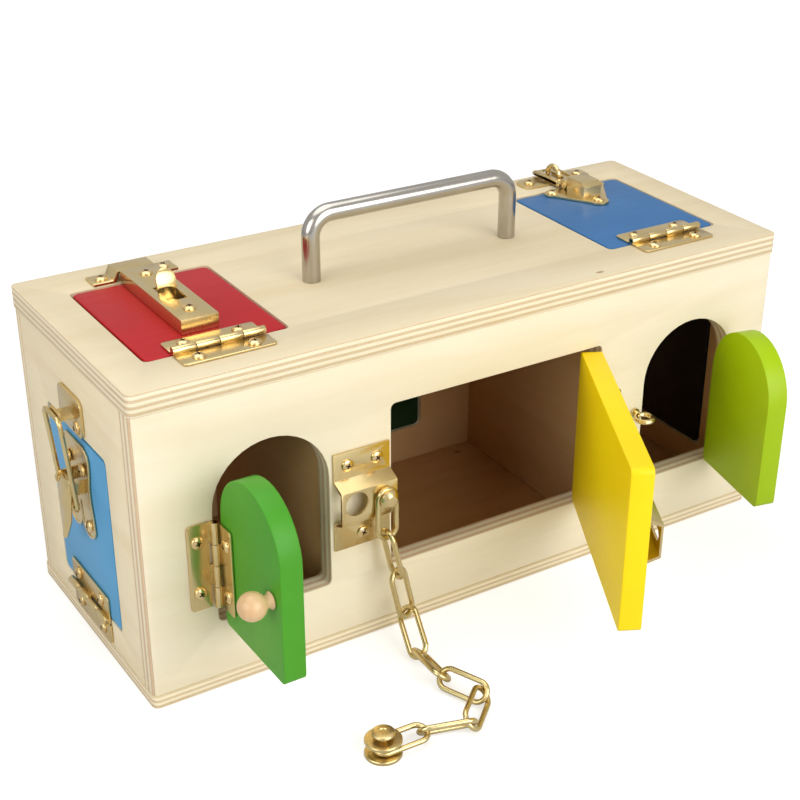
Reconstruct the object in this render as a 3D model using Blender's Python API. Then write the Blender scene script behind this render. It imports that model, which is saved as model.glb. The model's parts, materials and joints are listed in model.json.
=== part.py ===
# Wooden latch box: a plywood case with three compartments and eight painted
# doors, each door held by a different piece of brass hardware.
# Metres, X to the right, Y to the back, Z up, origin at the centre of the base.
import math

import bmesh
import bpy
from mathutils import Matrix, Vector

for old in list(bpy.data.objects):
    bpy.data.objects.remove(old, do_unlink=True)

# Case
CASE_LENGTH = 0.405
CASE_DEPTH = 0.154
CASE_HEIGHT = 0.180
TOP_THICKNESS = 0.012
BOTTOM_THICKNESS = 0.0075
FRONT_THICKNESS = 0.012
BACK_THICKNESS = 0.008
END_THICKNESS = 0.009
DIVIDER_THICKNESS = 0.009
SHEET_CORNER = 0.0035
WALL_CORNER = 0.003
WALL_INSET = 0.0006
DIVIDER_OUTSIDE = 0.024

# Clearances shared by every piece
SEAT_GAP = 0.0003
RUN_GAP = 0.0003
CUT_OVERRUN = 0.001

# Door fits, measured from the hinge pin
PIN_OUTSIDE = 0.0005
HINGE_GAP = 0.001
FREE_GAP = 0.002
SIDE_GAP = 0.0012
DOOR_CORNER = 0.003

# Door sizes; the shares are parts of the case's length, depth or height
TOP_DOOR_WIDTH = 0.0765
TOP_DOOR_REACH = 0.0935
TOP_DOOR_SHARE = 0.34938
SIDE_WIDTH_SHARE = 0.4935
SIDE_HEIGHT_SHARE = 0.64935
SIDE_DOOR_FOOT = 0.026
BACK_DOOR_WIDTH = 0.081
BACK_DOOR_HEIGHT = 0.096
BACK_DOOR_X = 0.0075
BACK_FOOT_SHARE = 0.381
FRONT_DOOR_HEIGHT = 0.0955
FRONT_FOOT_SHARE = 0.4911
ARCH_WIDTH_SHARE = 0.15556
LEFT_PIER_SHARE = 0.10123
RIGHT_PIER_SHARE = 0.08864
YELLOW_WIDTH_SHARE = 0.33333
YELLOW_X_SHARE = 0.02222

# How far each front door stands open, in degrees
GREEN_OPEN = 90.0
YELLOW_OPEN = 63.0
LIME_OPEN = 77.5

# Butt hinge, in the frame of its pin
HINGE_LENGTH = 0.050
HINGE_REACH = 0.0145
LEAF_THICKNESS = 0.001
LEAF_CORNER = 0.002
BARREL_RADIUS = 0.0024
KNUCKLES = 4
PIN_RADIUS = 0.0011
HINGE_SCREW_X = 0.015
HINGE_SCREW_Y = 0.0090
TAB_SHARE = 0.1
GREEN_HINGE_DROP = 0.01225
YELLOW_HINGE_DROP = 0.00625

# Pan-head screw
SCREW_RADIUS = 0.0029
SCREW_HEIGHT = 0.0018
SCREW_RIM_SHARE = 0.35
SCREW_CROWN_SHARE = 0.62

# Carry handle
HANDLE_SPAN = 0.127
HANDLE_RISE = 0.0365
HANDLE_RADIUS = 0.005
HANDLE_BEND = 0.012

# Ball knob of the green door
BALL_RADIUS = 0.0074
BALL_OFFSET = 0.0104
BALL_NECK_RADIUS = 0.0036
BALL_SETBACK = 0.0098
BALL_DROP = 0.0028

# Hat-shaped brackets that the chain hangs from and slides into
BRACKET_LENGTH = 0.0577
BRACKET_WIDTH = 0.0334
BRACKET_PLATE = 0.0012
BRACKET_RISE = 0.0093
BRACKET_WEB = 0.0195
BRACKET_BASE = 0.0265
BRACKET_OUTSIDE = 0.0205
BRACKET_Z = 0.0896
PARK_HOLE_RADIUS = 0.0069
PARK_HOLE_X = -0.0075
BRACKET_SCREW_Z = 0.0213
BRACKET_SCREW_X = 0.0088
STUD_X = 0.0092
STUD_RADIUS = 0.0025
STUD_RISE = 0.0015
STUD_PLAY = 0.0005
STUD_RIM_SHARE = 0.35
STUD_CROWN_SHARE = 0.55
STUD_HEAD_RADIUS = 0.0055
STUD_HEAD_HEIGHT = 0.0036
TRACK_WIDTH = 0.062
TRACK_SETBACK = 0.0405
TRACK_SLOT_RADIUS = 0.0035
TRACK_MOUTH_RADIUS = 0.0069
TRACK_MOUTH_EDGE = 0.004

# Chain
WIRE_RADIUS = 0.0015
LINK_LENGTH = 0.032
LINK_WIDTH = 0.014
LINK_PLAY = 0.0009
LINK_HEADINGS = (-90, -34, -36, -103, -92, -68, -138, 160, 176)
LINK_DIPS = (90, 78, 78, 32, -1, 0, 0, 3, 2)
LINK_ROLLS = (0, 90, 160, 50, 140, 50, 130, 50, 170)
STEEP_SHARE = 0.24

# Chain button
BUTTON_FLANGE_RADIUS = 0.0096
BUTTON_FLANGE_HEIGHT = 0.002
BUTTON_NECK_RADIUS = 0.0024
BUTTON_NECK_HEIGHT = 0.0024
BUTTON_TOP_RADIUS = 0.006
BUTTON_TOP_HEIGHT = 0.002
BUTTON_GROOVE = 0.006

# Slide latch of the red door
SLIDE_X = -0.0007
SLIDE_START = 0.0192
SLIDE_SETBACK = 0.0003
SLIDE_WIDTH = 0.0204
SLIDE_HEIGHT = 0.008
SLIDE_PLATE = 0.0012
SLIDE_SCREW_START = 0.012
SLIDE_SCREW_STOP = 0.0105
SLIDE_POST_RADIUS = 0.0014
BOLT_HEIGHT = 0.0036
BOLT_NOSE = 0.0024
BOLT_TAIL = 0.0150
BOLT_NOSE_WIDTH = 0.015
BOLT_THROW = 0.005
BOLT_DRAW = 0.0125
TAB_SPAN_SHARE = 0.5057
TAB_CORNER = 0.003
TAB_WIDTH = 0.0098
TAB_THICKNESS = 0.002
TAB_HEIGHT = 0.0178
STRIKE_LENGTH = 0.048
STRIKE_DEPTH = 0.012
STRIKE_RISE = 0.0062
STRIKE_BASE = 0.0260
STRIKE_WEB = 0.0215
STRIKE_SCREW_X = 0.0178

# Hasp of the blue top door, Y measured from the door's free edge
HASP_X = 0.003
HASP_PLATE = 0.0014
HASP_EAR_X = 0.0172
HASP_EAR_Y = -0.0052
HASP_EAR_RADIUS = 0.0048
HASP_HUB_Y = -0.0120
HASP_LOBE_Y = -0.0295
HASP_LOBE_RADIUS = 0.0062
HOUSING_WIDTH = 0.0130
HOUSING_LENGTH = 0.0170
HOUSING_HEIGHT = 0.0105
HOUSING_BROW = 0.0025
STRAP_PIN_Y = -0.0025
KNUCKLE_PROUD = 0.0004
TAB_FILL_SHARE = 0.8
STRAP_PIN_HEIGHT = 0.0046
STRAP_BARREL_RADIUS = 0.0029
STRAP_PIN_RADIUS = 0.0012
STRAP_KNUCKLE_WIDTH = 0.0075
STRAP_WIDTH = 0.0158
STRAP_LENGTH = 0.0310
STRAP_PLATE = 0.0012
STRAP_LEVEL = 0.0028
STRAP_LIP = 0.0020
STRAP_CORNER = 0.004
STRAP_SLOT_WIDTH = 0.005
STRAP_SLOT_PLAY = 0.0022
RING_RADIUS = 0.0060
RING_WIRE = 0.0015
RING_Y = 0.0170
RING_CENTRE = 0.0034
STAPLE_LENGTH = 0.050
STAPLE_DEPTH = 0.014
STAPLE_PLATE = 0.0012
STAPLE_SCREW_X = 0.0185

# Toggle latch of the blue side door, Y measured from the door's free edge
TOGGLE_PLATE = 0.0014
TOGGLE_BOTTOM = -0.0575
TOGGLE_TOP = -0.0030
TOGGLE_WIDTH = 0.034
TOGGLE_WAVE = 0.0022
TOGGLE_WAVES = 4
TOGGLE_LOBE_RADIUS = 0.0085
TOGGLE_LOBE_X = 0.0115
TOGGLE_SCREW_X = 0.0095
TOGGLE_SCREW_DROP = 0.0138
TOGGLE_EAR = 0.0012
TOGGLE_EAR_WIDTH = 0.0095
EAR_ROUND_SHARE = 0.45
PIVOT_Y = -0.0270
PIVOT_HEIGHT = 0.0066
PIVOT_RADIUS = 0.0013
LEVER_WIDTH = 0.0140
LEVER_PLATE = 0.0026
LEVER_TIP_Y = -0.0580
LEVER_TIP_HEIGHT = 0.0118
LEVER_TIP_SHARE = 0.6
LEVER_WALL = 0.0013
LEVER_BEND_SHARE = 0.50
BAIL_Y = -0.0380
BAIL_WIDTH = 0.0208
BAIL_WIRE = 0.0013
BAIL_BEND = 0.003
BAIL_LENGTH = 0.0525
KEEPER_WIDTH = 0.030
KEEPER_PLATE = 0.0014
KEEPER_HEIGHT = 0.0215
KEEPER_START = 0.0025
KEEPER_CORNER = 0.004
KEEPER_SCREW_X = 0.0085
KEEPER_SCREW_RISE = 0.0048
KEEPER_HOOK_WIDTH = 0.0120
KEEPER_HOOK_LIP = 0.0030
KEEPER_HOOK_PLATE = 0.0016

# Hook and eyes of the lime door
EYE_RADIUS = 0.0050
EYE_WIRE = 0.0015
EYE_STEM = 0.0046
EYE_COLLAR = 0.0028
FRAME_EYE_OUTSIDE = 0.0079
FRAME_EYE_DROP = 0.00025
DOOR_EYE_REACH = 0.0350
HOOK_WIRE = 0.0013
HOOK_LOOP_RADIUS = 0.0038
HOOK_TIP = 0.0085
HOOK_BEND = 0.003
HOOK_GAP_ANGLE = 40

# Turn buttons of the black door and the back door
TURN_LENGTH = 0.024
TURN_WIDTH = 0.009
TURN_THICKNESS = 0.003
TURN_OFFSET = 0.0062

# Facets of round pieces
ROUND = 16
SMALL_ROUND = 12
SCREW_ROUND = 10
ARCH_STEPS = 20
CORNER_STEPS = 3
BEND_STEPS = 6
BALL_STEPS = 8
WIRE_SIDES = 2
BAR_SIDES = 5

# Points nearer than this share of a piece's radius are merged; sharper edges stay crisp
MERGE_SHARE = 0.0001
SHARP_ANGLE = 40

# Sizes that follow from the ones above
AXIS_HEIGHT = SEAT_GAP + BARREL_RADIUS
DOOR_EDGE = PIN_OUTSIDE + HINGE_GAP
WALL_TOP = CASE_HEIGHT - TOP_THICKNESS - SEAT_GAP
WALL_BOTTOM = BOTTOM_THICKNESS + SEAT_GAP
FRONT_Y = -CASE_DEPTH / 2 + WALL_INSET
BACK_Y = CASE_DEPTH / 2 - WALL_INSET
END_X = CASE_LENGTH / 2 - WALL_INSET
TOP_FRAME_Z = CASE_HEIGHT + AXIS_HEIGHT
BORE_RADIUS = PIN_RADIUS + RUN_GAP
TOP_DOOR_X = CASE_LENGTH * TOP_DOOR_SHARE
SIDE_DOOR_WIDTH = CASE_DEPTH * SIDE_WIDTH_SHARE
SIDE_DOOR_HEIGHT = (CASE_HEIGHT - SIDE_DOOR_FOOT) * SIDE_HEIGHT_SHARE
ARCH_DOOR_WIDTH = CASE_LENGTH * ARCH_WIDTH_SHARE
YELLOW_DOOR_WIDTH = CASE_LENGTH * YELLOW_WIDTH_SHARE
YELLOW_DOOR_X = CASE_LENGTH * YELLOW_X_SHARE
DIVIDER_X = YELLOW_DOOR_WIDTH / 2 + DIVIDER_OUTSIDE
FRONT_DOOR_Z = (CASE_HEIGHT - FRONT_DOOR_HEIGHT) * FRONT_FOOT_SHARE + FRONT_DOOR_HEIGHT / 2
SIDE_DOOR_Z = SIDE_DOOR_FOOT + SIDE_DOOR_HEIGHT / 2
BACK_DOOR_Z = (CASE_HEIGHT - BACK_DOOR_HEIGHT) * BACK_FOOT_SHARE + BACK_DOOR_HEIGHT / 2
YELLOW_LEFT = YELLOW_DOOR_X - YELLOW_DOOR_WIDTH / 2
YELLOW_RIGHT = YELLOW_DOOR_X + YELLOW_DOOR_WIDTH / 2
LEFT_ARCH_X = YELLOW_LEFT - CASE_LENGTH * LEFT_PIER_SHARE - ARCH_DOOR_WIDTH / 2
RIGHT_ARCH_X = YELLOW_RIGHT + CASE_LENGTH * RIGHT_PIER_SHARE + ARCH_DOOR_WIDTH / 2
TOP_FREE_EDGE = DOOR_EDGE + TOP_DOOR_REACH
SIDE_FREE_EDGE = DOOR_EDGE + SIDE_DOOR_HEIGHT
BALL_REACH = DOOR_EDGE + ARCH_DOOR_WIDTH - BALL_SETBACK
TRACK_REACH = DOOR_EDGE + YELLOW_DOOR_WIDTH - TRACK_SETBACK
BRACKET_X = YELLOW_LEFT - BRACKET_OUTSIDE
FRAME_EYE_X = RIGHT_ARCH_X - ARCH_DOOR_WIDTH / 2 - FRAME_EYE_OUTSIDE
FRAME_EYE_Z = FRONT_DOOR_Z - FRAME_EYE_DROP

# Colours as red, green, blue, with roughness and metal share
PAINTS = {
    "ply": ((0.80, 0.62, 0.40), 0.55, 0.0),
    "red": ((0.62, 0.03, 0.03), 0.35, 0.0),
    "blue": ((0.03, 0.16, 0.50), 0.35, 0.0),
    "green": ((0.05, 0.30, 0.08), 0.35, 0.0),
    "dark_green": ((0.02, 0.12, 0.05), 0.35, 0.0),
    "yellow": ((0.85, 0.55, 0.02), 0.35, 0.0),
    "lime": ((0.40, 0.60, 0.08), 0.35, 0.0),
    "black": ((0.02, 0.02, 0.02), 0.35, 0.0),
    "beech": ((0.75, 0.52, 0.30), 0.45, 0.0),
    "brass": ((0.78, 0.57, 0.24), 0.28, 1.0),
    "steel": ((0.62, 0.60, 0.57), 0.32, 1.0),
}


def material(name):
    colour, roughness, metal = PAINTS[name]
    mat = bpy.data.materials.get(name) or bpy.data.materials.new(name)
    mat.use_nodes = True
    shader = mat.node_tree.nodes["Principled BSDF"]
    shader.inputs["Base Color"].default_value = (*colour, 1.0)
    shader.inputs["Roughness"].default_value = roughness
    shader.inputs["Metallic"].default_value = metal
    return mat


def shift(x=0.0, y=0.0, z=0.0):
    return Matrix.Translation((x, y, z))


def turn(angle, axis):
    return Matrix.Rotation(math.radians(angle), 4, axis)


def axes(x_axis, y_axis, z_axis, origin):
    matrix = Matrix.Identity(4)
    for column, axis in enumerate((x_axis, y_axis, z_axis, origin)):
        for row in range(len(axis)):
            matrix[row][column] = axis[row]
    return matrix


def arc(cx, cy, radius, start, stop, steps):
    points = []
    for step in range(steps + 1):
        angle = math.radians(start + (stop - start) * step / steps)
        points.append((cx + radius * math.cos(angle), cy + radius * math.sin(angle)))
    return points


def rounded(x0, x1, y0, y1, radii):
    # Corner radii run from the low corner, counter-clockwise; zero is square
    corners = ((x0, y0, 1, 1, 180), (x1, y0, -1, 1, 270),
               (x1, y1, -1, -1, 0), (x0, y1, 1, -1, 90))
    points = []
    for (x, y, sx, sy, start), radius in zip(corners, radii):
        if radius > 0:
            points += arc(x + sx * radius, y + sy * radius, radius,
                          start, start + 90, CORNER_STEPS)
        else:
            points.append((x, y))
    return points


def prism(outline, low, high):
    bm = bmesh.new()
    face = bm.faces.new([bm.verts.new((x, y, low)) for x, y in outline])
    if face.normal.z == 0:
        face.normal_update()
    if face.normal.z > 0:
        face.normal_flip()
    grown = bmesh.ops.extrude_face_region(bm, geom=[face])
    tops = [item for item in grown["geom"] if isinstance(item, bmesh.types.BMVert)]
    bmesh.ops.translate(bm, verts=tops, vec=(0, 0, high - low))
    bmesh.ops.recalc_face_normals(bm, faces=bm.faces)
    return bm


def box(x0, x1, y0, y1, z0, z1):
    return prism([(x0, y0), (x1, y0), (x1, y1), (x0, y1)], z0, z1)


def turned(profile, steps=ROUND):
    # Profile points are radius and height; the first and last lie on the axis
    bm = bmesh.new()
    verts = [bm.verts.new((radius, 0, height)) for radius, height in profile]
    edges = [bm.edges.new(pair) for pair in zip(verts, verts[1:])]
    bmesh.ops.spin(bm, geom=verts + edges, cent=(0, 0, 0), axis=(0, 0, 1),
                   angle=math.tau, steps=steps, use_merge=True)
    widest = max(radius for radius, height in profile)
    bmesh.ops.remove_doubles(bm, verts=bm.verts, dist=widest * MERGE_SHARE)
    bmesh.ops.recalc_face_normals(bm, faces=bm.faces)
    return bm


def rod(points, radius, sides=WIRE_SIDES, closed=False):
    # A round wire along points, made from a curve with a bevel
    curve = bpy.data.curves.new("wire", "CURVE")
    curve.dimensions = "3D"
    curve.bevel_depth = radius
    curve.bevel_resolution = sides
    curve.use_fill_caps = True
    spline = curve.splines.new("POLY")
    spline.points.add(len(points) - 1)
    for point, place in zip(spline.points, points):
        point.co = (*place, 1)
    spline.use_cyclic_u = closed
    wire = bpy.data.objects.new("wire", curve)
    bpy.context.scene.collection.objects.link(wire)
    seen = wire.evaluated_get(bpy.context.evaluated_depsgraph_get())
    mesh = bpy.data.meshes.new_from_object(seen)
    bm = bmesh.new()
    bm.from_mesh(mesh)
    bmesh.ops.remove_doubles(bm, verts=bm.verts, dist=radius * MERGE_SHARE)
    bmesh.ops.recalc_face_normals(bm, faces=bm.faces)
    bpy.data.objects.remove(wire)
    bpy.data.curves.remove(curve)
    bpy.data.meshes.remove(mesh)
    return bm


def moved(bm, matrix):
    bmesh.ops.transform(bm, matrix=matrix, verts=bm.verts)
    if matrix.determinant() < 0:
        bmesh.ops.reverse_faces(bm, faces=bm.faces)
    return bm


def as_object(bm, name):
    mesh = bpy.data.meshes.new(name)
    bm.to_mesh(mesh)
    bm.free()
    thing = bpy.data.objects.new(name, mesh)
    bpy.context.scene.collection.objects.link(thing)
    return thing


def solid(name, paint, carrier, base, joins=(), cuts=(), fittings=()):
    # One closed body, in its carrier's frame: joins, then cuts, then fittings inside the cuts
    thing = as_object(base, name)
    tools = []
    for kind, shapes in (("UNION", joins), ("DIFFERENCE", cuts), ("UNION", fittings)):
        for shape in shapes:
            tool = as_object(shape, "tool")
            tools.append(tool)
            step = thing.modifiers.new("cut", "BOOLEAN")
            step.operation = kind
            step.solver = "EXACT"
            step.object = tool
    if tools:
        seen = thing.evaluated_get(bpy.context.evaluated_depsgraph_get())
        mesh = bpy.data.meshes.new_from_object(seen)
        thing.modifiers.clear()
        thing.data = mesh
        for tool in tools:
            bpy.data.objects.remove(tool)
    thing.data.materials.clear()
    thing.data.materials.append(material(paint))
    thing.data.shade_smooth()
    thing.data.set_sharp_from_angle(angle=math.radians(SHARP_ANGLE))
    if carrier is not None:
        thing.parent = carrier
    return thing


def copy_of(thing, name, carrier):
    twin = bpy.data.objects.new(name, thing.data)
    bpy.context.scene.collection.objects.link(twin)
    twin.parent = carrier
    return twin


def empty(name, matrix, carrier=None):
    holder = bpy.data.objects.new(name, None)
    bpy.context.scene.collection.objects.link(holder)
    holder.parent = carrier
    holder.matrix_local = matrix
    return holder


def screw(x, y, level):
    # Pan head whose underside is sunk halfway into a plate ending at level
    sunk = level - LEAF_THICKNESS / 2
    profile = [(0, sunk), (SCREW_RADIUS, sunk), (SCREW_RADIUS, level + SCREW_HEIGHT * SCREW_RIM_SHARE),
               (SCREW_RADIUS * SCREW_CROWN_SHARE, level + SCREW_HEIGHT), (0, level + SCREW_HEIGHT)]
    return moved(turned(profile, SCREW_ROUND), shift(x, y))


# Doors: each works in the frame of its pin, X along the pin, Y towards the free
# edge and Z out of the box, with the outer face AXIS_HEIGHT below the pin
RIGHT = (1, 0, 0)
LEFT = (-1, 0, 0)
BACK = (0, 1, 0)
FRONT = (0, -1, 0)
UP = (0, 0, 1)
DOWN = (0, 0, -1)

FRONT_PIN_Y = FRONT_Y - AXIS_HEIGHT
TOP_PIN_Y = -TOP_DOOR_REACH / 2 - DOOR_EDGE
DOORS = {
    "red_top_door": dict(
        paint="red", width=TOP_DOOR_WIDTH, reach=TOP_DOOR_REACH, thickness=TOP_THICKNESS,
        place=axes(RIGHT, BACK, UP, (-TOP_DOOR_X, TOP_PIN_Y, TOP_FRAME_Z))),
    "blue_top_door": dict(
        paint="blue", width=TOP_DOOR_WIDTH, reach=TOP_DOOR_REACH, thickness=TOP_THICKNESS,
        place=axes(RIGHT, BACK, UP, (TOP_DOOR_X, TOP_PIN_Y, TOP_FRAME_Z))),
    "blue_side_door": dict(
        paint="blue", width=SIDE_DOOR_WIDTH, reach=SIDE_DOOR_HEIGHT, thickness=END_THICKNESS,
        place=axes(FRONT, UP, LEFT, (-END_X - AXIS_HEIGHT, 0,
                                     SIDE_DOOR_Z - SIDE_DOOR_HEIGHT / 2 - DOOR_EDGE))),
    "black_side_door": dict(
        paint="black", width=SIDE_DOOR_HEIGHT, reach=SIDE_DOOR_WIDTH, thickness=END_THICKNESS,
        place=axes(UP, FRONT, RIGHT, (END_X + AXIS_HEIGHT, SIDE_DOOR_WIDTH / 2 + DOOR_EDGE,
                                      SIDE_DOOR_Z))),
    "dark_green_back_door": dict(
        paint="dark_green", width=BACK_DOOR_HEIGHT, reach=BACK_DOOR_WIDTH, thickness=BACK_THICKNESS,
        place=axes(UP, RIGHT, BACK, (BACK_DOOR_X - BACK_DOOR_WIDTH / 2 - DOOR_EDGE,
                                     BACK_Y + AXIS_HEIGHT, BACK_DOOR_Z))),
    "green_arch_door": dict(
        paint="green", width=FRONT_DOOR_HEIGHT, reach=ARCH_DOOR_WIDTH, thickness=FRONT_THICKNESS,
        place=axes(DOWN, RIGHT, FRONT, (LEFT_ARCH_X - ARCH_DOOR_WIDTH / 2 - DOOR_EDGE,
                                        FRONT_PIN_Y, FRONT_DOOR_Z)),
        arch=-1, open=GREEN_OPEN, hinge=GREEN_HINGE_DROP),
    "yellow_door": dict(
        paint="yellow", width=FRONT_DOOR_HEIGHT, reach=YELLOW_DOOR_WIDTH, thickness=FRONT_THICKNESS,
        place=axes(UP, LEFT, FRONT, (YELLOW_DOOR_X + YELLOW_DOOR_WIDTH / 2 + DOOR_EDGE,
                                     FRONT_PIN_Y, FRONT_DOOR_Z)),
        open=YELLOW_OPEN, hinge=-YELLOW_HINGE_DROP),
    "lime_arch_door": dict(
        paint="lime", width=FRONT_DOOR_HEIGHT, reach=ARCH_DOOR_WIDTH, thickness=FRONT_THICKNESS,
        place=axes(UP, LEFT, FRONT, (RIGHT_ARCH_X + ARCH_DOOR_WIDTH / 2 + DOOR_EDGE,
                                     FRONT_PIN_Y, FRONT_DOOR_Z)),
        arch=1, open=LIME_OPEN, hinge=-GREEN_HINGE_DROP),
}


def door_outline(door, side, near, far):
    # The door's own outline grown by side, near and far; zero gives the door
    half = door["width"] / 2 + side
    low = DOOR_EDGE - near
    high = DOOR_EDGE + door["reach"] + far
    radii = [DOOR_CORNER] * 4
    arch = door.get("arch", 0)
    if arch == 0:
        return rounded(-half, half, low, high, radii)
    middle = (low + high) / 2
    radius = (high - low) / 2
    if arch > 0:
        crown = arc(half - radius, middle, radius, -90, 90, ARCH_STEPS)
        foot = [point for point in rounded(-half, half, low, high, radii) if point[0] < 0]
        return crown + foot[CORNER_STEPS + 1:] + foot[:CORNER_STEPS + 1]
    crown = arc(radius - half, middle, radius, 90, 270, ARCH_STEPS)
    foot = [point for point in rounded(-half, half, low, high, radii) if point[0] > 0]
    return crown + foot


def opening(door):
    # Cutter for the door's hole, in world space
    outline = door_outline(door, SIDE_GAP, HINGE_GAP, FREE_GAP)
    bottom = -AXIS_HEIGHT - door["thickness"] - CUT_OVERRUN
    cutter = prism(outline, bottom, -AXIS_HEIGHT + CUT_OVERRUN)
    return moved(cutter, door["place"])


def sheet(low, high):
    half_x = CASE_LENGTH / 2
    half_y = CASE_DEPTH / 2
    return prism(rounded(-half_x, half_x, -half_y, half_y, [SHEET_CORNER] * 4), low, high)


# Case
solid("top_panel", "ply", None, sheet(CASE_HEIGHT - TOP_THICKNESS, CASE_HEIGHT),
      cuts=[opening(DOORS["red_top_door"]), opening(DOORS["blue_top_door"])])
solid("bottom_panel", "ply", None, sheet(0, BOTTOM_THICKNESS))
front_plan = rounded(-END_X, END_X, FRONT_Y, FRONT_Y + FRONT_THICKNESS,
                     [WALL_CORNER, WALL_CORNER, 0, 0])
solid("front_panel", "ply", None, prism(front_plan, WALL_BOTTOM, WALL_TOP),
      cuts=[opening(DOORS[name]) for name in ("green_arch_door", "yellow_door", "lime_arch_door")])
back_plan = rounded(-END_X, END_X, BACK_Y - BACK_THICKNESS, BACK_Y,
                    [0, 0, WALL_CORNER, WALL_CORNER])
solid("back_panel", "ply", None, prism(back_plan, WALL_BOTTOM, WALL_TOP),
      cuts=[opening(DOORS["dark_green_back_door"])])
inner_front = FRONT_Y + FRONT_THICKNESS + SEAT_GAP
inner_back = BACK_Y - BACK_THICKNESS - SEAT_GAP
solid("left_end_panel", "ply", None,
      box(-END_X, -END_X + END_THICKNESS, inner_front, inner_back, WALL_BOTTOM, WALL_TOP),
      cuts=[opening(DOORS["blue_side_door"])])
solid("right_end_panel", "ply", None,
      box(END_X - END_THICKNESS, END_X, inner_front, inner_back, WALL_BOTTOM, WALL_TOP),
      cuts=[opening(DOORS["black_side_door"])])
left_divider = solid("left_divider", "ply", None,
                     box(-DIVIDER_THICKNESS / 2, DIVIDER_THICKNESS / 2, inner_front, inner_back,
                         WALL_BOTTOM, WALL_TOP))
left_divider.location.x = -DIVIDER_X
right_divider = copy_of(left_divider, "right_divider", None)
right_divider.location.x = DIVIDER_X

# Doors, each hung from an empty on its pin that carries the angle it stands at
closed = {}
pivots = {}
for name, door in DOORS.items():
    closed[name] = empty(name + "_frame", door["place"])
    pivots[name] = empty(name + "_pin", turn(door.get("open", 0), "X"), closed[name])


def door_slab(name):
    door = DOORS[name]
    return prism(door_outline(door, 0, 0, 0), -AXIS_HEIGHT - door["thickness"], -AXIS_HEIGHT)


for name in DOORS:
    if name != "lime_arch_door":
        solid(name, DOORS[name]["paint"], pivots[name], door_slab(name))

# Butt hinges: the frame leaf carries the pin, the door leaf turns round it
LEAF_LOW = -BARREL_RADIUS
LEAF_HIGH = LEAF_LOW + LEAF_THICKNESS
KNUCKLE_LENGTH = (HINGE_LENGTH - (KNUCKLES - 1) * RUN_GAP) / KNUCKLES
BARREL_REACH = BARREL_RADIUS + RUN_GAP


def knuckle_start(number):
    return -HINGE_LENGTH / 2 + number * (KNUCKLE_LENGTH + RUN_GAP)


def along_x(bm, x):
    # A turned piece laid along X, starting at x
    return moved(bm, shift(x) @ turn(90, "Y"))


def leaf(first, side):
    # Plate with a barrel on every second knuckle; side is -1 frame, 1 door
    near = side * BARREL_REACH
    far = side * HINGE_REACH
    half = HINGE_LENGTH / 2
    if side > 0:
        outline = rounded(-half, half, near, far, [0, 0, LEAF_CORNER, LEAF_CORNER])
    else:
        outline = rounded(-half, half, far, near, [LEAF_CORNER, LEAF_CORNER, 0, 0])
    plate = prism(outline, LEAF_LOW, LEAF_HIGH)
    joins = []
    for number in range(first, KNUCKLES, 2):
        start = knuckle_start(number)
        stop = start + KNUCKLE_LENGTH
        low, high = sorted((0, side * (BARREL_REACH + LEAF_THICKNESS)))
        joins.append(box(start, stop, low, high, LEAF_LOW + LEAF_THICKNESS * TAB_SHARE, LEAF_HIGH))
        barrel = [(0, 0), (BARREL_RADIUS, 0), (BARREL_RADIUS, KNUCKLE_LENGTH), (0, KNUCKLE_LENGTH)]
        joins.append(along_x(turned(barrel, SMALL_ROUND), start))
    for x in (-HINGE_SCREW_X, HINGE_SCREW_X):
        joins.append(screw(x, side * HINGE_SCREW_Y, LEAF_HIGH))
    return plate, joins


plate, joins = leaf(0, -1)
pin = [(0, 0), (PIN_RADIUS, 0), (PIN_RADIUS, HINGE_LENGTH), (0, HINGE_LENGTH)]
joins.append(along_x(turned(pin, SMALL_ROUND), -HINGE_LENGTH / 2))
first_frame_leaf = solid("red_top_door_hinge_frame_leaf", "brass", None, plate, joins)
plate, joins = leaf(1, 1)
bore_length = HINGE_LENGTH + 2 * CUT_OVERRUN
bore = [(0, 0), (BORE_RADIUS, 0), (BORE_RADIUS, bore_length), (0, bore_length)]
first_door_leaf = solid("red_top_door_hinge_door_leaf", "brass", None, plate, joins,
                        cuts=[along_x(turned(bore, SMALL_ROUND), -bore_length / 2)])
for name, door in DOORS.items():
    if name == "red_top_door":
        first_frame_leaf.parent = closed[name]
        first_door_leaf.parent = pivots[name]
        continue
    for holder, pattern, ending in ((closed, first_frame_leaf, "_hinge_frame_leaf"),
                                    (pivots, first_door_leaf, "_hinge_door_leaf")):
        twin = copy_of(pattern, name + ending, holder[name])
        twin.location.x = door.get("hinge", 0)


def face(name, x=0.0, y=0.0):
    # Frame on a door's outer face, X and Y measured from its pin
    return empty(name + "_face", shift(x, y, -AXIS_HEIGHT), pivots[name])


def hat(length, base, web, rise, plate):
    # Section of a bracket with two feet and a raised web between them
    low = SEAT_GAP
    half, foot, top = length / 2, base / 2, web / 2
    under = [(-half, low), (plate - foot, low), (plate - top, rise - plate),
             (top - plate, rise - plate), (foot - plate, low), (half, low)]
    over = [(half, low + plate), (foot, low + plate), (top, rise), (-top, rise),
            (-foot, low + plate), (-half, low + plate)]
    return under + over


def capsule(ax, ay, a_radius, bx, by, b_radius):
    # Two circles and the straight sides that join them
    heading = math.degrees(math.atan2(by - ay, bx - ax))
    spread = math.hypot(bx - ax, by - ay)
    lean = math.degrees(math.asin((a_radius - b_radius) / spread))
    side = 90 - lean
    return (arc(bx, by, b_radius, heading - side, heading + side, CORNER_STEPS * 2)
            + arc(ax, ay, a_radius, heading + side, heading + 360 - side, CORNER_STEPS * 2))


def cylinder(radius, low, high, steps=SMALL_ROUND):
    return turned([(0, low), (radius, low), (radius, high), (0, high)], steps)


ACROSS_X = axes(BACK, UP, RIGHT, (0, 0, 0))
ACROSS_Y = axes(RIGHT, UP, FRONT, (0, 0, 0))
roof = empty("roof", shift(0, 0, CASE_HEIGHT))
front_face = empty("front_face", axes(RIGHT, UP, FRONT, (0, FRONT_Y, 0)))

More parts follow.
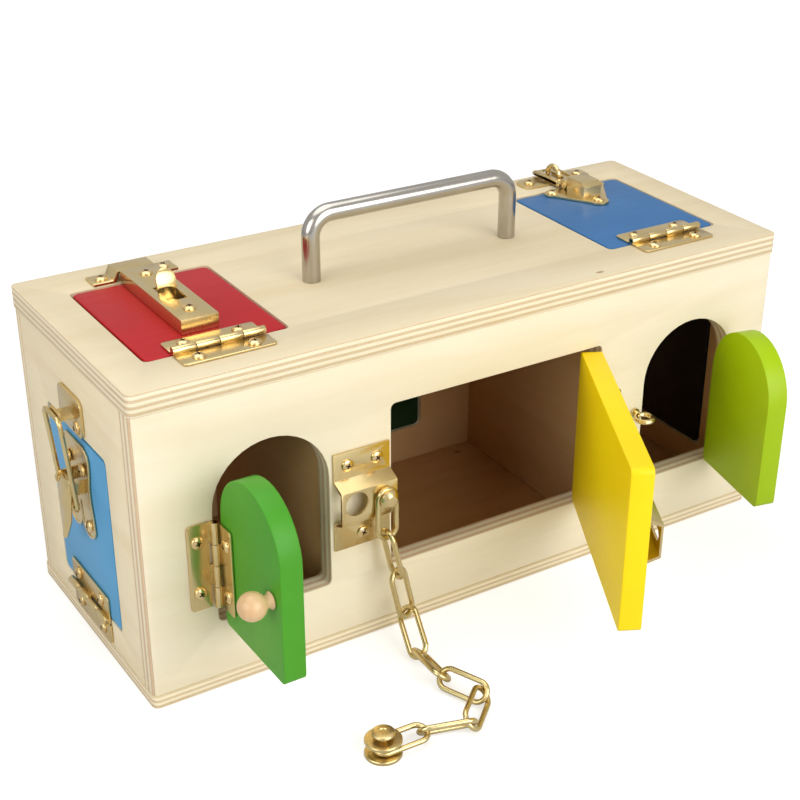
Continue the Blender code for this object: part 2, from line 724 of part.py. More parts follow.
# Carry handle: one round bar bent twice, its ends screwed on from inside
half_span = HANDLE_SPAN / 2
elbow = HANDLE_RISE - HANDLE_BEND
bar = [(-half_span, 0, SEAT_GAP)]
bar += [(x, 0, z) for x, z in arc(HANDLE_BEND - half_span, elbow, HANDLE_BEND, 180, 90, BEND_STEPS)]
bar += [(x, 0, z) for x, z in arc(half_span - HANDLE_BEND, elbow, HANDLE_BEND, 90, 0, BEND_STEPS)]
bar += [(half_span, 0, SEAT_GAP)]
solid("carry_handle", "steel", roof, rod(bar, HANDLE_RADIUS, BAR_SIDES))

# Ball knob on the green door
shoulder = math.degrees(math.asin(BALL_NECK_RADIUS / BALL_RADIUS))
ball = [(0, SEAT_GAP), (BALL_NECK_RADIUS, SEAT_GAP)]
ball += [(r, BALL_OFFSET + z) for r, z in arc(0, 0, BALL_RADIUS, shoulder - 90, 90, BALL_STEPS)][:-1]
ball += [(0, BALL_OFFSET + BALL_RADIUS)]
solid("ball_knob", "beech", face("green_arch_door", BALL_DROP, BALL_REACH), turned(ball))

# Chain anchor: hat bracket with a park hole and a headed stud
bracket_section = hat(BRACKET_LENGTH, BRACKET_BASE, BRACKET_WEB, BRACKET_RISE, BRACKET_PLATE)
bracket_half = BRACKET_WIDTH / 2
bracket = moved(prism(bracket_section, -bracket_half, bracket_half), ACROSS_X)
bracket_top = SEAT_GAP + BRACKET_PLATE
stud_neck = BRACKET_RISE + 2 * WIRE_RADIUS + 2 * STUD_PLAY
head_rim = stud_neck + STUD_HEAD_HEIGHT * STUD_RIM_SHARE
head_top = stud_neck + STUD_HEAD_HEIGHT
stud_root = BRACKET_RISE - BRACKET_PLATE / 2
stud = turned([(0, stud_root), (STUD_RADIUS, stud_root), (STUD_RADIUS, stud_neck),
               (STUD_HEAD_RADIUS, stud_neck), (STUD_HEAD_RADIUS, head_rim),
               (STUD_HEAD_RADIUS * STUD_CROWN_SHARE, head_top), (0, head_top)])
park = cylinder(PARK_HOLE_RADIUS, BRACKET_RISE - BRACKET_PLATE - CUT_OVERRUN,
                BRACKET_RISE + CUT_OVERRUN, ROUND)
solid("chain_anchor", "brass", empty("anchor_place", shift(BRACKET_X, BRACKET_Z), front_face),
      bracket,
      joins=[moved(stud, shift(STUD_X, STUD_RISE)),
             screw(-BRACKET_SCREW_X, BRACKET_SCREW_Z, bracket_top),
             screw(BRACKET_SCREW_X, BRACKET_SCREW_Z, bracket_top),
             screw(0, -BRACKET_SCREW_Z, bracket_top)],
      cuts=[moved(park, shift(PARK_HOLE_X, STUD_RISE))])

# Chain track on the yellow door, with a mouth for the button and a slot
track_half = TRACK_WIDTH / 2
track = moved(prism(bracket_section, -track_half, track_half), ACROSS_Y)
mouth_y = TRACK_MOUTH_RADIUS + TRACK_MOUTH_EDGE - track_half
slot_end = track_half - TRACK_SLOT_RADIUS - TRACK_MOUTH_EDGE
slot_low = BRACKET_RISE - BRACKET_PLATE - CUT_OVERRUN
slot_high = BRACKET_RISE + CUT_OVERRUN
slot_outline = capsule(0, mouth_y, TRACK_SLOT_RADIUS, 0, slot_end, TRACK_SLOT_RADIUS)
mouth = cylinder(TRACK_MOUTH_RADIUS, slot_low, slot_high, ROUND)
track_screw_y = track_half - BRACKET_SCREW_X
track_drop = BRACKET_Z - FRONT_DOOR_Z
solid("chain_track", "brass", face("yellow_door", track_drop, TRACK_REACH), track,
      joins=[screw(x, y, bracket_top) for x in (-BRACKET_SCREW_Z, BRACKET_SCREW_Z)
             for y in (-track_screw_y, track_screw_y)],
      cuts=[prism(slot_outline, slot_low, slot_high), moved(mouth, shift(0, mouth_y))])

# Slide latch on the red door: channel closed at its hinge end, bolt with a thumb tab, strike
NOSE_END = TOP_FREE_EDGE + BOLT_NOSE
slide_end = TOP_FREE_EDGE - SLIDE_SETBACK
half_width = SLIDE_WIDTH / 2
inner = half_width - SLIDE_PLATE
channel = box(-half_width, half_width, SLIDE_START, slide_end, SEAT_GAP, SLIDE_HEIGHT)
slide_room = box(-inner, inner, SLIDE_START + SLIDE_PLATE, slide_end + CUT_OVERRUN,
                 SEAT_GAP - CUT_OVERRUN, SLIDE_HEIGHT - SLIDE_PLATE)
slide_screws = (SLIDE_START + SLIDE_SCREW_START, slide_end - SLIDE_SCREW_STOP)
half_tab = TAB_WIDTH / 2
tab_y = slide_screws[0] + (slide_screws[1] - slide_screws[0]) * TAB_SPAN_SHARE
tab_low = tab_y - TAB_THICKNESS / 2
tab_high = tab_y + TAB_THICKNESS / 2
slide_slot = box(-half_tab - RUN_GAP, half_tab + RUN_GAP, tab_low - BOLT_DRAW - RUN_GAP,
                 tab_high + BOLT_THROW + RUN_GAP, SLIDE_HEIGHT - SLIDE_PLATE - CUT_OVERRUN,
                 SLIDE_HEIGHT + CUT_OVERRUN)
slide_fittings = []
for y in slide_screws:
    post = cylinder(SLIDE_POST_RADIUS, SEAT_GAP, SLIDE_HEIGHT - SLIDE_PLATE / 2)
    slide_fittings += [moved(post, shift(0, y)), screw(0, y, SLIDE_HEIGHT)]
red_face = face("red_top_door", SLIDE_X)
solid("slide_channel", "brass", red_face, channel, cuts=[slide_room, slide_slot],
      fittings=slide_fittings)
bolt_low = SEAT_GAP + RUN_GAP
bolt_half = inner - RUN_GAP
bolt = box(-bolt_half, bolt_half, SLIDE_START + BOLT_TAIL, TOP_FREE_EDGE, bolt_low, BOLT_HEIGHT)
nose_half = BOLT_NOSE_WIDTH / 2
nose = box(-nose_half, nose_half, TOP_FREE_EDGE - CUT_OVERRUN, NOSE_END, bolt_low, BOLT_HEIGHT)
tab = moved(prism(rounded(-half_tab, half_tab, BOLT_HEIGHT / 2, TAB_HEIGHT,
                          [0, 0, TAB_CORNER, TAB_CORNER]), -tab_high, -tab_low), ACROSS_Y)
post_room = SLIDE_POST_RADIUS + RUN_GAP
bolt_slots = [prism(capsule(0, y - BOLT_THROW, post_room, 0, y + BOLT_DRAW, post_room),
                    bolt_low - CUT_OVERRUN, BOLT_HEIGHT + CUT_OVERRUN) for y in slide_screws]
solid("slide_bolt", "brass", red_face, bolt, [nose, tab], bolt_slots)
strike_y = NOSE_END + RUN_GAP + STRIKE_DEPTH / 2
strike_half = STRIKE_DEPTH / 2
strike_section = hat(STRIKE_LENGTH, STRIKE_BASE, STRIKE_WEB, STRIKE_RISE, SLIDE_PLATE)
strike = moved(prism(strike_section, -strike_half, strike_half), ACROSS_Y)
solid("slide_strike", "brass",
      empty("strike_place", shift(SLIDE_X, strike_y, -AXIS_HEIGHT), closed["red_top_door"]),
      strike, joins=[screw(x, 0, SEAT_GAP + SLIDE_PLATE) for x in (-STRIKE_SCREW_X, STRIKE_SCREW_X)])

# Hasp on the blue door: base with housing and pin, strap, and staple plate
blue_face = face("blue_top_door", HASP_X, TOP_FREE_EDGE)
plate_low = SEAT_GAP
plate_high = SEAT_GAP + HASP_PLATE


def trefoil():
    # Two ears and a front lobe round the hub, joined by straight sides
    points = []
    for x, y, radius in ((HASP_EAR_X, HASP_EAR_Y, HASP_EAR_RADIUS),
                         (-HASP_EAR_X, HASP_EAR_Y, HASP_EAR_RADIUS),
                         (0, HASP_LOBE_Y, HASP_LOBE_RADIUS)):
        heading = math.degrees(math.atan2(y - HASP_HUB_Y, x))
        points += arc(x, y, radius, heading - 90, heading + 90, CORNER_STEPS * 2)
    return points


housing_back = STRAP_PIN_Y - STRAP_BARREL_RADIUS - RUN_GAP
housing_front = housing_back - HOUSING_LENGTH
housing_root = plate_low + HASP_PLATE / 2
housing_section = [(housing_front, housing_root), (housing_back, housing_root),
                   (housing_back, HOUSING_HEIGHT), (housing_front + HOUSING_BROW, HOUSING_HEIGHT),
                   (housing_front, HOUSING_HEIGHT - HOUSING_BROW)]
half_housing = HOUSING_WIDTH / 2
half_knuckle = STRAP_KNUCKLE_WIDTH / 2
side_start = half_knuckle + RUN_GAP
strap_bore = STRAP_PIN_RADIUS + RUN_GAP


def across(radius, x0, x1, y, z, steps=SMALL_ROUND):
    # Cylinder along X between x0 and x1
    return moved(along_x(cylinder(radius, 0, x1 - x0, steps), x0), shift(0, y, z))


pin_end = half_housing + 2 * KNUCKLE_PROUD
hasp_joins = [moved(prism(housing_section, -half_housing, half_housing), ACROSS_X),
              across(STRAP_PIN_RADIUS, -pin_end, pin_end, STRAP_PIN_Y, STRAP_PIN_HEIGHT)]
for side in (-1, 1):
    low, high = sorted((side * side_start, side * (half_housing + KNUCKLE_PROUD)))
    hasp_joins.append(across(STRAP_BARREL_RADIUS, low, high, STRAP_PIN_Y, STRAP_PIN_HEIGHT))
    low, high = sorted((side * (side_start + KNUCKLE_PROUD), side * (half_housing - KNUCKLE_PROUD)))
    hasp_joins.append(box(low, high, housing_back - CUT_OVERRUN, STRAP_PIN_Y,
                          STRAP_PIN_HEIGHT - STRAP_PIN_RADIUS * TAB_FILL_SHARE,
                          STRAP_PIN_HEIGHT + STRAP_PIN_RADIUS * TAB_FILL_SHARE))
for x, y in ((-HASP_EAR_X, HASP_EAR_Y), (HASP_EAR_X, HASP_EAR_Y), (0, HASP_LOBE_Y)):
    hasp_joins.append(screw(x, y, plate_high))
solid("hasp_base", "brass", blue_face, prism(trefoil(), plate_low, plate_high), hasp_joins)

# Strap: works in the frame of its own pin
strap_pin = empty("strap_pin", shift(0, STRAP_PIN_Y, STRAP_PIN_HEIGHT), blue_face)
strap_low = STRAP_LEVEL - STRAP_PIN_HEIGHT
strap_high = strap_low + STRAP_PLATE
strap_near = STRAP_BARREL_RADIUS + RUN_GAP
half_strap = STRAP_WIDTH / 2
ring_outer = RING_RADIUS + RING_WIRE
ring_from_pin = RING_Y - STRAP_PIN_Y
inner_strap = half_strap - STRAP_PLATE
lip_low = strap_high - STRAP_LIP
strap_section = [(-half_strap, lip_low), (-inner_strap, lip_low), (-inner_strap, strap_low),
                 (inner_strap, strap_low), (inner_strap, lip_low), (half_strap, lip_low),
                 (half_strap, strap_high), (-half_strap, strap_high)]
strap_body = moved(prism(strap_section, -STRAP_LENGTH, -strap_near), ACROSS_Y)
half_slot = STRAP_SLOT_WIDTH / 2
strap_slot = prism(capsule(0, ring_from_pin - ring_outer + half_slot - STRAP_SLOT_PLAY, half_slot,
                           0, ring_from_pin + ring_outer - half_slot + STRAP_SLOT_PLAY, half_slot),
                   strap_low - CUT_OVERRUN, strap_high + CUT_OVERRUN)
strap_joins = [across(STRAP_BARREL_RADIUS, -half_knuckle, half_knuckle, 0, 0),
               box(KNUCKLE_PROUD - half_knuckle, half_knuckle - KNUCKLE_PROUD, 0,
                   strap_near + STRAP_PLATE, strap_low + STRAP_PLATE * TAB_SHARE,
                   strap_high - STRAP_PLATE * TAB_SHARE)]
solid("hasp_strap", "brass", strap_pin, strap_body, strap_joins,
      [strap_slot, across(strap_bore, -half_strap, half_strap, 0, 0)])

# Staple plate behind the door
half_staple = STAPLE_LENGTH / 2
staple_top = SEAT_GAP + STAPLE_PLATE
staple = prism(rounded(-half_staple, half_staple, -STAPLE_DEPTH / 2, STAPLE_DEPTH / 2,
                       [STRAP_CORNER] * 4), SEAT_GAP, staple_top)
loop = [(0, -RING_RADIUS, staple_top - STAPLE_PLATE / 2)]
loop += [(0, y, z) for y, z in arc(0, RING_CENTRE, RING_RADIUS, 180, 0, 2 * BEND_STEPS)]
loop += [(0, RING_RADIUS, staple_top - STAPLE_PLATE / 2)]
solid("hasp_staple", "brass",
      empty("staple_place", shift(HASP_X, TOP_FREE_EDGE + RING_Y, -AXIS_HEIGHT),
            closed["blue_top_door"]),
      staple, joins=[rod(loop, RING_WIRE), screw(-STAPLE_SCREW_X, 0, staple_top),
                     screw(STAPLE_SCREW_X, 0, staple_top)])

# Toggle latch on the blue side door: wavy base, lever, bail, and keeper
side_face = face("blue_side_door", 0, SIDE_FREE_EDGE)
toggle_top = SEAT_GAP + TOGGLE_PLATE
half_toggle = TOGGLE_WIDTH / 2
wave_steps = TOGGLE_WAVES * CORNER_STEPS * 2
toggle_rise = TOGGLE_TOP - TOGGLE_BOTTOM - TOGGLE_LOBE_RADIUS
right_side = []
for step in range(wave_steps + 1):
    share = step / wave_steps
    bulge = TOGGLE_WAVE * math.cos(math.tau * TOGGLE_WAVES * share)
    right_side.append((half_toggle + bulge, TOGGLE_BOTTOM + TOGGLE_LOBE_RADIUS + toggle_rise * share))
left_side = [(-x, y) for x, y in reversed(right_side)]
lever_frame = empty("lever_pivot", shift(0, PIVOT_Y, PIVOT_HEIGHT), side_face)
ear_inner = LEVER_WIDTH / 2 + RUN_GAP
ear_outer = ear_inner + TOGGLE_EAR
ear_top = PIVOT_HEIGHT + TOGGLE_EAR_WIDTH / 2
ear_outline = rounded(PIVOT_Y - TOGGLE_EAR_WIDTH / 2, PIVOT_Y + TOGGLE_EAR_WIDTH / 2,
                      toggle_top - TOGGLE_PLATE / 2, ear_top,
                      [0, 0, TOGGLE_EAR_WIDTH * EAR_ROUND_SHARE, TOGGLE_EAR_WIDTH * EAR_ROUND_SHARE])
lobe_y = TOGGLE_BOTTOM + TOGGLE_LOBE_RADIUS
toggle_joins = [across(PIVOT_RADIUS, -ear_outer, ear_outer, PIVOT_Y, PIVOT_HEIGHT)]
for side in (-1, 1):
    lobe = moved(cylinder(TOGGLE_LOBE_RADIUS, SEAT_GAP, toggle_top, ROUND),
                 shift(side * TOGGLE_LOBE_X, lobe_y))
    low, high = sorted((side * ear_inner, side * ear_outer))
    toggle_joins += [lobe, moved(prism(ear_outline, low, high), ACROSS_X),
                     screw(side * TOGGLE_SCREW_X, TOGGLE_TOP - TOGGLE_SCREW_DROP, toggle_top),
                     screw(side * TOGGLE_LOBE_X, lobe_y, toggle_top)]
solid("toggle_base", "brass", side_face, prism(right_side + left_side, SEAT_GAP, toggle_top),
      toggle_joins)

# Lever, in the frame of its pivot; its tip points down, leans outwards and narrows
tip_y = LEVER_TIP_Y - PIVOT_Y
tip_z = LEVER_TIP_HEIGHT - PIVOT_HEIGHT
bail_y = BAIL_Y - PIVOT_Y
bend_y = tip_y * LEVER_BEND_SHARE
half_plate = LEVER_PLATE / 2
half_lever = LEVER_WIDTH / 2
lever_section = [(tip_y, tip_z - half_plate), (bend_y, -half_plate), (0, -half_plate),
                 (0, half_plate), (bend_y, half_plate), (tip_y, tip_z + half_plate)]
lever_bar = moved(prism(lever_section, -half_lever, half_lever), ACROSS_X)
for vert in lever_bar.verts:
    if vert.co.y < (tip_y + bend_y) / 2:
        vert.co.x *= LEVER_TIP_SHARE
bmesh.ops.triangulate(lever_bar, faces=lever_bar.faces)
boss_radius = BAIL_WIRE + RUN_GAP + LEVER_WALL
half_bore = half_lever + CUT_OVERRUN
lever_cuts = [across(PIVOT_RADIUS + RUN_GAP, -half_bore, half_bore, 0, 0),
              across(BAIL_WIRE + RUN_GAP, -half_bore, half_bore, bail_y, 0)]
solid("toggle_lever", "brass", lever_frame, lever_bar,
      [across(boss_radius, -half_lever, half_lever, 0, 0),
       across(boss_radius, -half_lever, half_lever, bail_y, 0)], lever_cuts)

# Wire bail, leaning just outside the keeper's hook
hook_lip_low = PIVOT_HEIGHT + BAIL_WIRE + RUN_GAP
hook_lip_high = hook_lip_low + KEEPER_HOOK_PLATE
bail_out = hook_lip_high + RUN_GAP + BAIL_WIRE - PIVOT_HEIGHT
bail_lean = math.degrees(math.asin(bail_out / BAIL_LENGTH))
bail_frame = empty("bail_pivot", shift(0, bail_y, 0) @ turn(bail_lean, "X"), lever_frame)
half_bail = BAIL_WIDTH / 2
bail_end = half_lever / 2
side_path = [(x, y, 0) for x, y in arc(half_bail - BAIL_BEND, BAIL_LENGTH - BAIL_BEND, BAIL_BEND,
                                       0, 90, CORNER_STEPS)]
wire_path = [(bail_end, 0, 0), (half_bail, 0, 0)] + side_path
wire_path += [(-x, y, z) for x, y, z in reversed(wire_path)]
solid("toggle_bail", "brass", bail_frame, rod(wire_path, BAIL_WIRE))

# Keeper on the end panel above the door
keeper_top = SEAT_GAP + KEEPER_PLATE
half_keeper = KEEPER_WIDTH / 2
keeper = prism(rounded(-half_keeper, half_keeper, KEEPER_START, KEEPER_START + KEEPER_HEIGHT,
                       [KEEPER_CORNER] * 4), SEAT_GAP, keeper_top)
bar_y = BAIL_Y + BAIL_LENGTH
arm_top = bar_y - BAIL_WIRE - RUN_GAP
arm_low = arm_top - KEEPER_HOOK_PLATE
half_hook = KEEPER_HOOK_WIDTH / 2
arm = box(-half_hook, half_hook, arm_low, arm_top, SEAT_GAP + KEEPER_PLATE / 2, hook_lip_high)
lip = box(-half_hook, half_hook, arm_low, arm_top + KEEPER_HOOK_LIP, hook_lip_low, hook_lip_high)
keeper_screw_y = KEEPER_START + KEEPER_SCREW_RISE
solid("toggle_keeper", "brass",
      empty("keeper_place", shift(0, SIDE_FREE_EDGE, -AXIS_HEIGHT), closed["blue_side_door"]), keeper,
      [arm, lip, screw(-KEEPER_SCREW_X, keeper_screw_y, keeper_top),
       screw(KEEPER_SCREW_X, keeper_screw_y, keeper_top)])


def screw_eye():
    # Ring on a stem, its hole along Y
    centre = EYE_STEM + EYE_RADIUS
    ring = [(x, 0, z) for x, z in arc(0, centre, EYE_RADIUS, 0, 360, ROUND)][:-1]
    stem = turned([(0, SEAT_GAP), (EYE_COLLAR, SEAT_GAP), (EYE_COLLAR, SEAT_GAP + EYE_WIRE),
                   (EYE_WIRE, SEAT_GAP + EYE_WIRE), (EYE_WIRE, EYE_STEM + EYE_WIRE / 2),
                   (0, EYE_STEM + EYE_WIRE / 2)])
    return stem, rod(ring, EYE_WIRE, closed=True)


# Eye on the frame beside the right arch, and the lime door with its own eye
stem, ring = screw_eye()
solid("frame_eye", "brass", empty("eye_place", shift(FRAME_EYE_X, FRAME_EYE_Z), front_face),
      stem, [ring])
eye_rise = FRAME_EYE_Z + EYE_WIRE + RUN_GAP + HOOK_WIRE + EYE_RADIUS - FRONT_DOOR_Z
lime_face = shift(eye_rise, DOOR_EYE_REACH, -AXIS_HEIGHT)
stem, ring = screw_eye()
root = cylinder(EYE_WIRE, -CUT_OVERRUN, EYE_WIRE)
solid("lime_arch_door", "lime", pivots["lime_arch_door"], door_slab("lime_arch_door"),
      [moved(part, lime_face) for part in (stem, ring, root)])

# Hook hanging from the door's eye, in the frame of its turning axis
eye_centre = EYE_STEM + EYE_RADIUS
hook_frame = empty("hook_axis", lime_face @ shift(-EYE_RADIUS, 0, eye_centre),
                   pivots["lime_arch_door"])
frame_eye_reach = DOORS["lime_arch_door"]["place"].translation.x - FRAME_EYE_X
hook_length = frame_eye_reach - DOOR_EYE_REACH
loop_path = [(x, y, 0) for x, y in arc(0, 0, HOOK_LOOP_RADIUS, HOOK_GAP_ANGLE - 180, 180, ROUND)]
hook_corner = HOOK_BEND - hook_length
hook_path = [(x, y, 0) for x, y in arc(hook_corner, -HOOK_BEND, HOOK_BEND, 90, 180, CORNER_STEPS)]
hook_path = [(-HOOK_LOOP_RADIUS, 0, 0)] + hook_path + [(-hook_length, -HOOK_TIP, 0)]
hook_shaft = rod(hook_path, HOOK_WIRE)
solid("hook", "brass", hook_frame, rod(loop_path, HOOK_WIRE), [hook_shaft])


def turn_button(name, door_name):
    # Oval plate turning on one screw beside the door's free edge, put by
    door = DOORS[door_name]
    reach = DOOR_EDGE + door["reach"] + FREE_GAP + TURN_OFFSET
    straight = (TURN_LENGTH - TURN_WIDTH) / 2
    radius = TURN_WIDTH / 2
    outline = capsule(-straight, 0, radius, straight, 0, radius)
    place = empty(name + "_place", shift(0, reach, -AXIS_HEIGHT), closed[door_name])
    top = SEAT_GAP + TURN_THICKNESS
    solid(name, "brass", place, prism(outline, SEAT_GAP, top), [screw(0, 0, top)])


turn_button("black_turn_button", "black_side_door")
turn_button("back_turn_button", "dark_green_back_door")

# Chain: each link is placed from the link before it, by its own heading, dip
# and roll, and lies loosely in the bend of that link
half_link = LINK_LENGTH / 2 - WIRE_RADIUS
half_loop = LINK_WIDTH / 2 - WIRE_RADIUS
link_straight = half_link - half_loop
link_path = [(x, y, 0) for x, y in arc(link_straight, 0, half_loop, -90, 90, BEND_STEPS)]
link_path += [(x, y, 0) for x, y in arc(-link_straight, 0, half_loop, 90, 270, BEND_STEPS)]
links = []
stud_place = Vector((BRACKET_X + STUD_X, FRONT_Y - BRACKET_RISE - STUD_PLAY - WIRE_RADIUS,
                     BRACKET_Z + STUD_RISE))
joint = stud_place
near = stud_place + Vector(UP) * (STUD_RADIUS + STUD_PLAY + WIRE_RADIUS)
last = None
holder = None
for heading, dip, roll in zip(LINK_HEADINGS, LINK_DIPS, LINK_ROLLS):
    level = math.cos(math.radians(dip))
    way = Vector((level * math.cos(math.radians(heading)), level * math.sin(math.radians(heading)),
                  -math.sin(math.radians(dip))))
    if last is not None:
        near = last["end"] - (way + last["way"]).normalized() * (2 * WIRE_RADIUS + LINK_PLAY)
        joint = last["end"]
    flat = Vector(UP).cross(way)
    if flat.length < STEEP_SHARE:
        flat = Vector(RIGHT) - way * way.dot(Vector(RIGHT))
    flat.normalize()
    side = Matrix.Rotation(math.radians(roll), 3, way) @ flat
    number = len(links) + 1
    place = axes(way, side, way.cross(side), joint)
    local = place if holder is None else last["place"].inverted() @ place
    holder = empty("chain_joint_%d" % number, local, holder)
    if number == 1:
        link = solid("chain_link_1", "brass", holder, rod(link_path, WIRE_RADIUS, closed=True))
    else:
        link = copy_of(links[0], "chain_link_%d" % number, holder)
    centre = near + way * half_link
    link.location = place.inverted() @ centre
    links.append(link)
    last = dict(way=way, end=near + way * (2 * half_link), place=place)

# Button: two flanges round the last link, and a top disc that hooks into the track
groove_top = BUTTON_FLANGE_HEIGHT + BUTTON_GROOVE
flange_top = groove_top + BUTTON_FLANGE_HEIGHT
neck_top = flange_top + BUTTON_NECK_HEIGHT
button = turned([(0, 0), (BUTTON_FLANGE_RADIUS, 0), (BUTTON_FLANGE_RADIUS, BUTTON_FLANGE_HEIGHT),
                 (BUTTON_NECK_RADIUS, BUTTON_FLANGE_HEIGHT), (BUTTON_NECK_RADIUS, groove_top),
                 (BUTTON_FLANGE_RADIUS, groove_top), (BUTTON_FLANGE_RADIUS, flange_top),
                 (BUTTON_NECK_RADIUS, flange_top), (BUTTON_NECK_RADIUS, neck_top),
                 (BUTTON_TOP_RADIUS, neck_top), (BUTTON_TOP_RADIUS, neck_top + BUTTON_TOP_HEIGHT),
                 (0, neck_top + BUTTON_TOP_HEIGHT)], ROUND)
seat = last["end"] - last["way"] * (WIRE_RADIUS + LINK_PLAY + BUTTON_NECK_RADIUS)
button_place = last["place"].inverted() @ shift(seat.x, seat.y, 0)
solid("chain_button", "brass", empty("button_axis", button_place, holder), button)
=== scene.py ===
import json
import math

import bmesh
import bpy
import numpy as np
from mathutils import Matrix, Vector

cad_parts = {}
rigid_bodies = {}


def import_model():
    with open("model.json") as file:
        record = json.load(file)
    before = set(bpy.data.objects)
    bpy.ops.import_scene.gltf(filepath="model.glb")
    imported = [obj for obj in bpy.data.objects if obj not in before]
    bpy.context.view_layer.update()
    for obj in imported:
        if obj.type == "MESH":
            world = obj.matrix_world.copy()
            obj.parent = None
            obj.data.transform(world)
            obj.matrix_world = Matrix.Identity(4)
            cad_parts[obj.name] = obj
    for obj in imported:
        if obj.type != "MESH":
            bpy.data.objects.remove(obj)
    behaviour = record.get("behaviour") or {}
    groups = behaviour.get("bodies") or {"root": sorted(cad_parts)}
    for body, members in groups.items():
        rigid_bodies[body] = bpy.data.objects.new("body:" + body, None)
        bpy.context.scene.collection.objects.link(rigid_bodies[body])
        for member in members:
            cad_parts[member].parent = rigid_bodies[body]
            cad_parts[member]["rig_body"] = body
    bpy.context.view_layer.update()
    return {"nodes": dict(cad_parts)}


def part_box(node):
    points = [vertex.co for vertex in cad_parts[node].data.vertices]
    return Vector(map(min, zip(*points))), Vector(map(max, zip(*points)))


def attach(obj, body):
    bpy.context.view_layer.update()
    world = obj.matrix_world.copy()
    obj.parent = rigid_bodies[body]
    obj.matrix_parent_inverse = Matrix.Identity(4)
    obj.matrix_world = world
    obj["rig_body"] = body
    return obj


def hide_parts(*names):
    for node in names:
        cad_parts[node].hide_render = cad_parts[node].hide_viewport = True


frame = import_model()
nodes = frame["nodes"]
scene = bpy.context.scene
QUARTER = math.pi / 2


def frame_of(x_axis, y_axis, z_axis, origin):
    rows = [[x_axis[i], y_axis[i], z_axis[i], origin[i]] for i in range(3)]
    return Matrix(rows + [[0, 0, 0, 1]])


# Camera, solved from the box's visible corners in the pixels of the photograph
PICTURE_WIDTH = 800
PICTURE_FOCUS = 1573.7
PICTURE_CENTRE = (458.0, 455.9)
SENSOR_WIDTH = 36
CAMERA_PLACE = (-0.4351, -0.6917, 0.5084)
YAW, PITCH, ROLL = math.radians(34.12), math.radians(29.06), math.radians(1.24)


def make_camera():
    forward = Vector((math.sin(YAW) * math.cos(PITCH), math.cos(YAW) * math.cos(PITCH), -math.sin(PITCH)))
    level = Vector((math.cos(YAW), -math.sin(YAW), 0))
    upright = level.cross(forward)
    right = level * math.cos(ROLL) + upright * math.sin(ROLL)
    up = upright * math.cos(ROLL) - level * math.sin(ROLL)
    lens = bpy.data.cameras.new("photo_camera")
    lens.sensor_width = SENSOR_WIDTH
    lens.lens = PICTURE_FOCUS / PICTURE_WIDTH * SENSOR_WIDTH
    lens.shift_x = (PICTURE_WIDTH / 2 - PICTURE_CENTRE[0]) / PICTURE_WIDTH
    lens.shift_y = (PICTURE_CENTRE[1] - PICTURE_WIDTH / 2) / PICTURE_WIDTH
    lens.clip_start = 0.01
    camera = bpy.data.objects.new("photo_camera", lens)
    scene.collection.objects.link(camera)
    camera.matrix_world = frame_of(right, up, -forward, CAMERA_PLACE)
    scene.camera = camera


# Soft studio light: a wide panel in front, one overhead, one weak at the left
def softbox(name, place, aim, width, power):
    lamp = bpy.data.lights.new(name, "AREA")
    lamp.shape = "DISK"
    lamp.size = width
    lamp.energy = power
    thing = bpy.data.objects.new(name, lamp)
    scene.collection.objects.link(thing)
    thing.location = place
    thing.rotation_euler = (Vector(aim) - Vector(place)).to_track_quat("-Z", "Y").to_euler()


scene.view_settings.view_transform = "Standard"
make_camera()
softbox("front_panel_light", place=(0.35, -1.9, 0.95), aim=(0, 0, 0.08), width=2.0, power=32)
softbox("overhead_light", place=(-0.1, 0.25, 1.7), aim=(0, 0, 0.1), width=1.9, power=14)
softbox("left_fill_light", place=(-1.8, -0.5, 0.9), aim=(0, 0, 0.1), width=1.5, power=14)


def srgb(red, green, blue):
    # A colour given as it looks on screen, 0 to 255
    return tuple((v / 255) ** 2.2 for v in (red, green, blue)) + (1.0,)


def node(tree, kind, **values):
    # A new node; a value goes to its setting, or to its input of that name
    made = tree.nodes.new(kind)
    for key, value in values.items():
        if hasattr(made, key):
            setattr(made, key, value)
        else:
            made.inputs[key.replace("_", " ")].default_value = value
    return made


def join_up(tree, *pairs):
    for source, target in pairs:
        tree.links.new(source, target)


def feed(tree, socket, value):
    # A link where the value comes out of a node, otherwise a constant
    if isinstance(value, bpy.types.NodeSocket):
        tree.links.new(value, socket)
    else:
        socket.default_value = value


def new_material(name):
    mat = bpy.data.materials.new(name)
    mat.use_nodes = True
    tree = mat.node_tree
    return mat, tree, tree.nodes["Principled BSDF"]


# The world: fill light on rough surfaces, a calm grey room in the metal, white to the camera
ROOM_COLOUR = (1.0, 0.99, 0.97, 1)
FILL_STRENGTH, MIRRORED_STRENGTH, SEEN_STRENGTH = 0.27, 0.62, 1.0


def build_world():
    world = bpy.data.worlds.new("white_room")
    scene.world = world
    world.use_nodes = True
    tree = world.node_tree
    back = tree.nodes["Background"]
    back.inputs["Color"].default_value = ROOM_COLOUR
    path = node(tree, "ShaderNodeLightPath")
    mirrored = node(tree, "ShaderNodeMapRange", To_Min=FILL_STRENGTH, To_Max=MIRRORED_STRENGTH)
    plain = node(tree, "ShaderNodeMath", operation="MAXIMUM")
    strength = node(tree, "ShaderNodeMix")
    strength.inputs[3].default_value = SEEN_STRENGTH
    join_up(tree, (path.outputs["Is Glossy Ray"], mirrored.inputs["Value"]),
            (path.outputs["Is Camera Ray"], plain.inputs[0]),
            (path.outputs["Is Transmission Ray"], plain.inputs[1]),
            (plain.outputs[0], strength.inputs[0]),
            (mirrored.outputs["Result"], strength.inputs[2]),
            (strength.outputs[0], back.inputs["Strength"]))


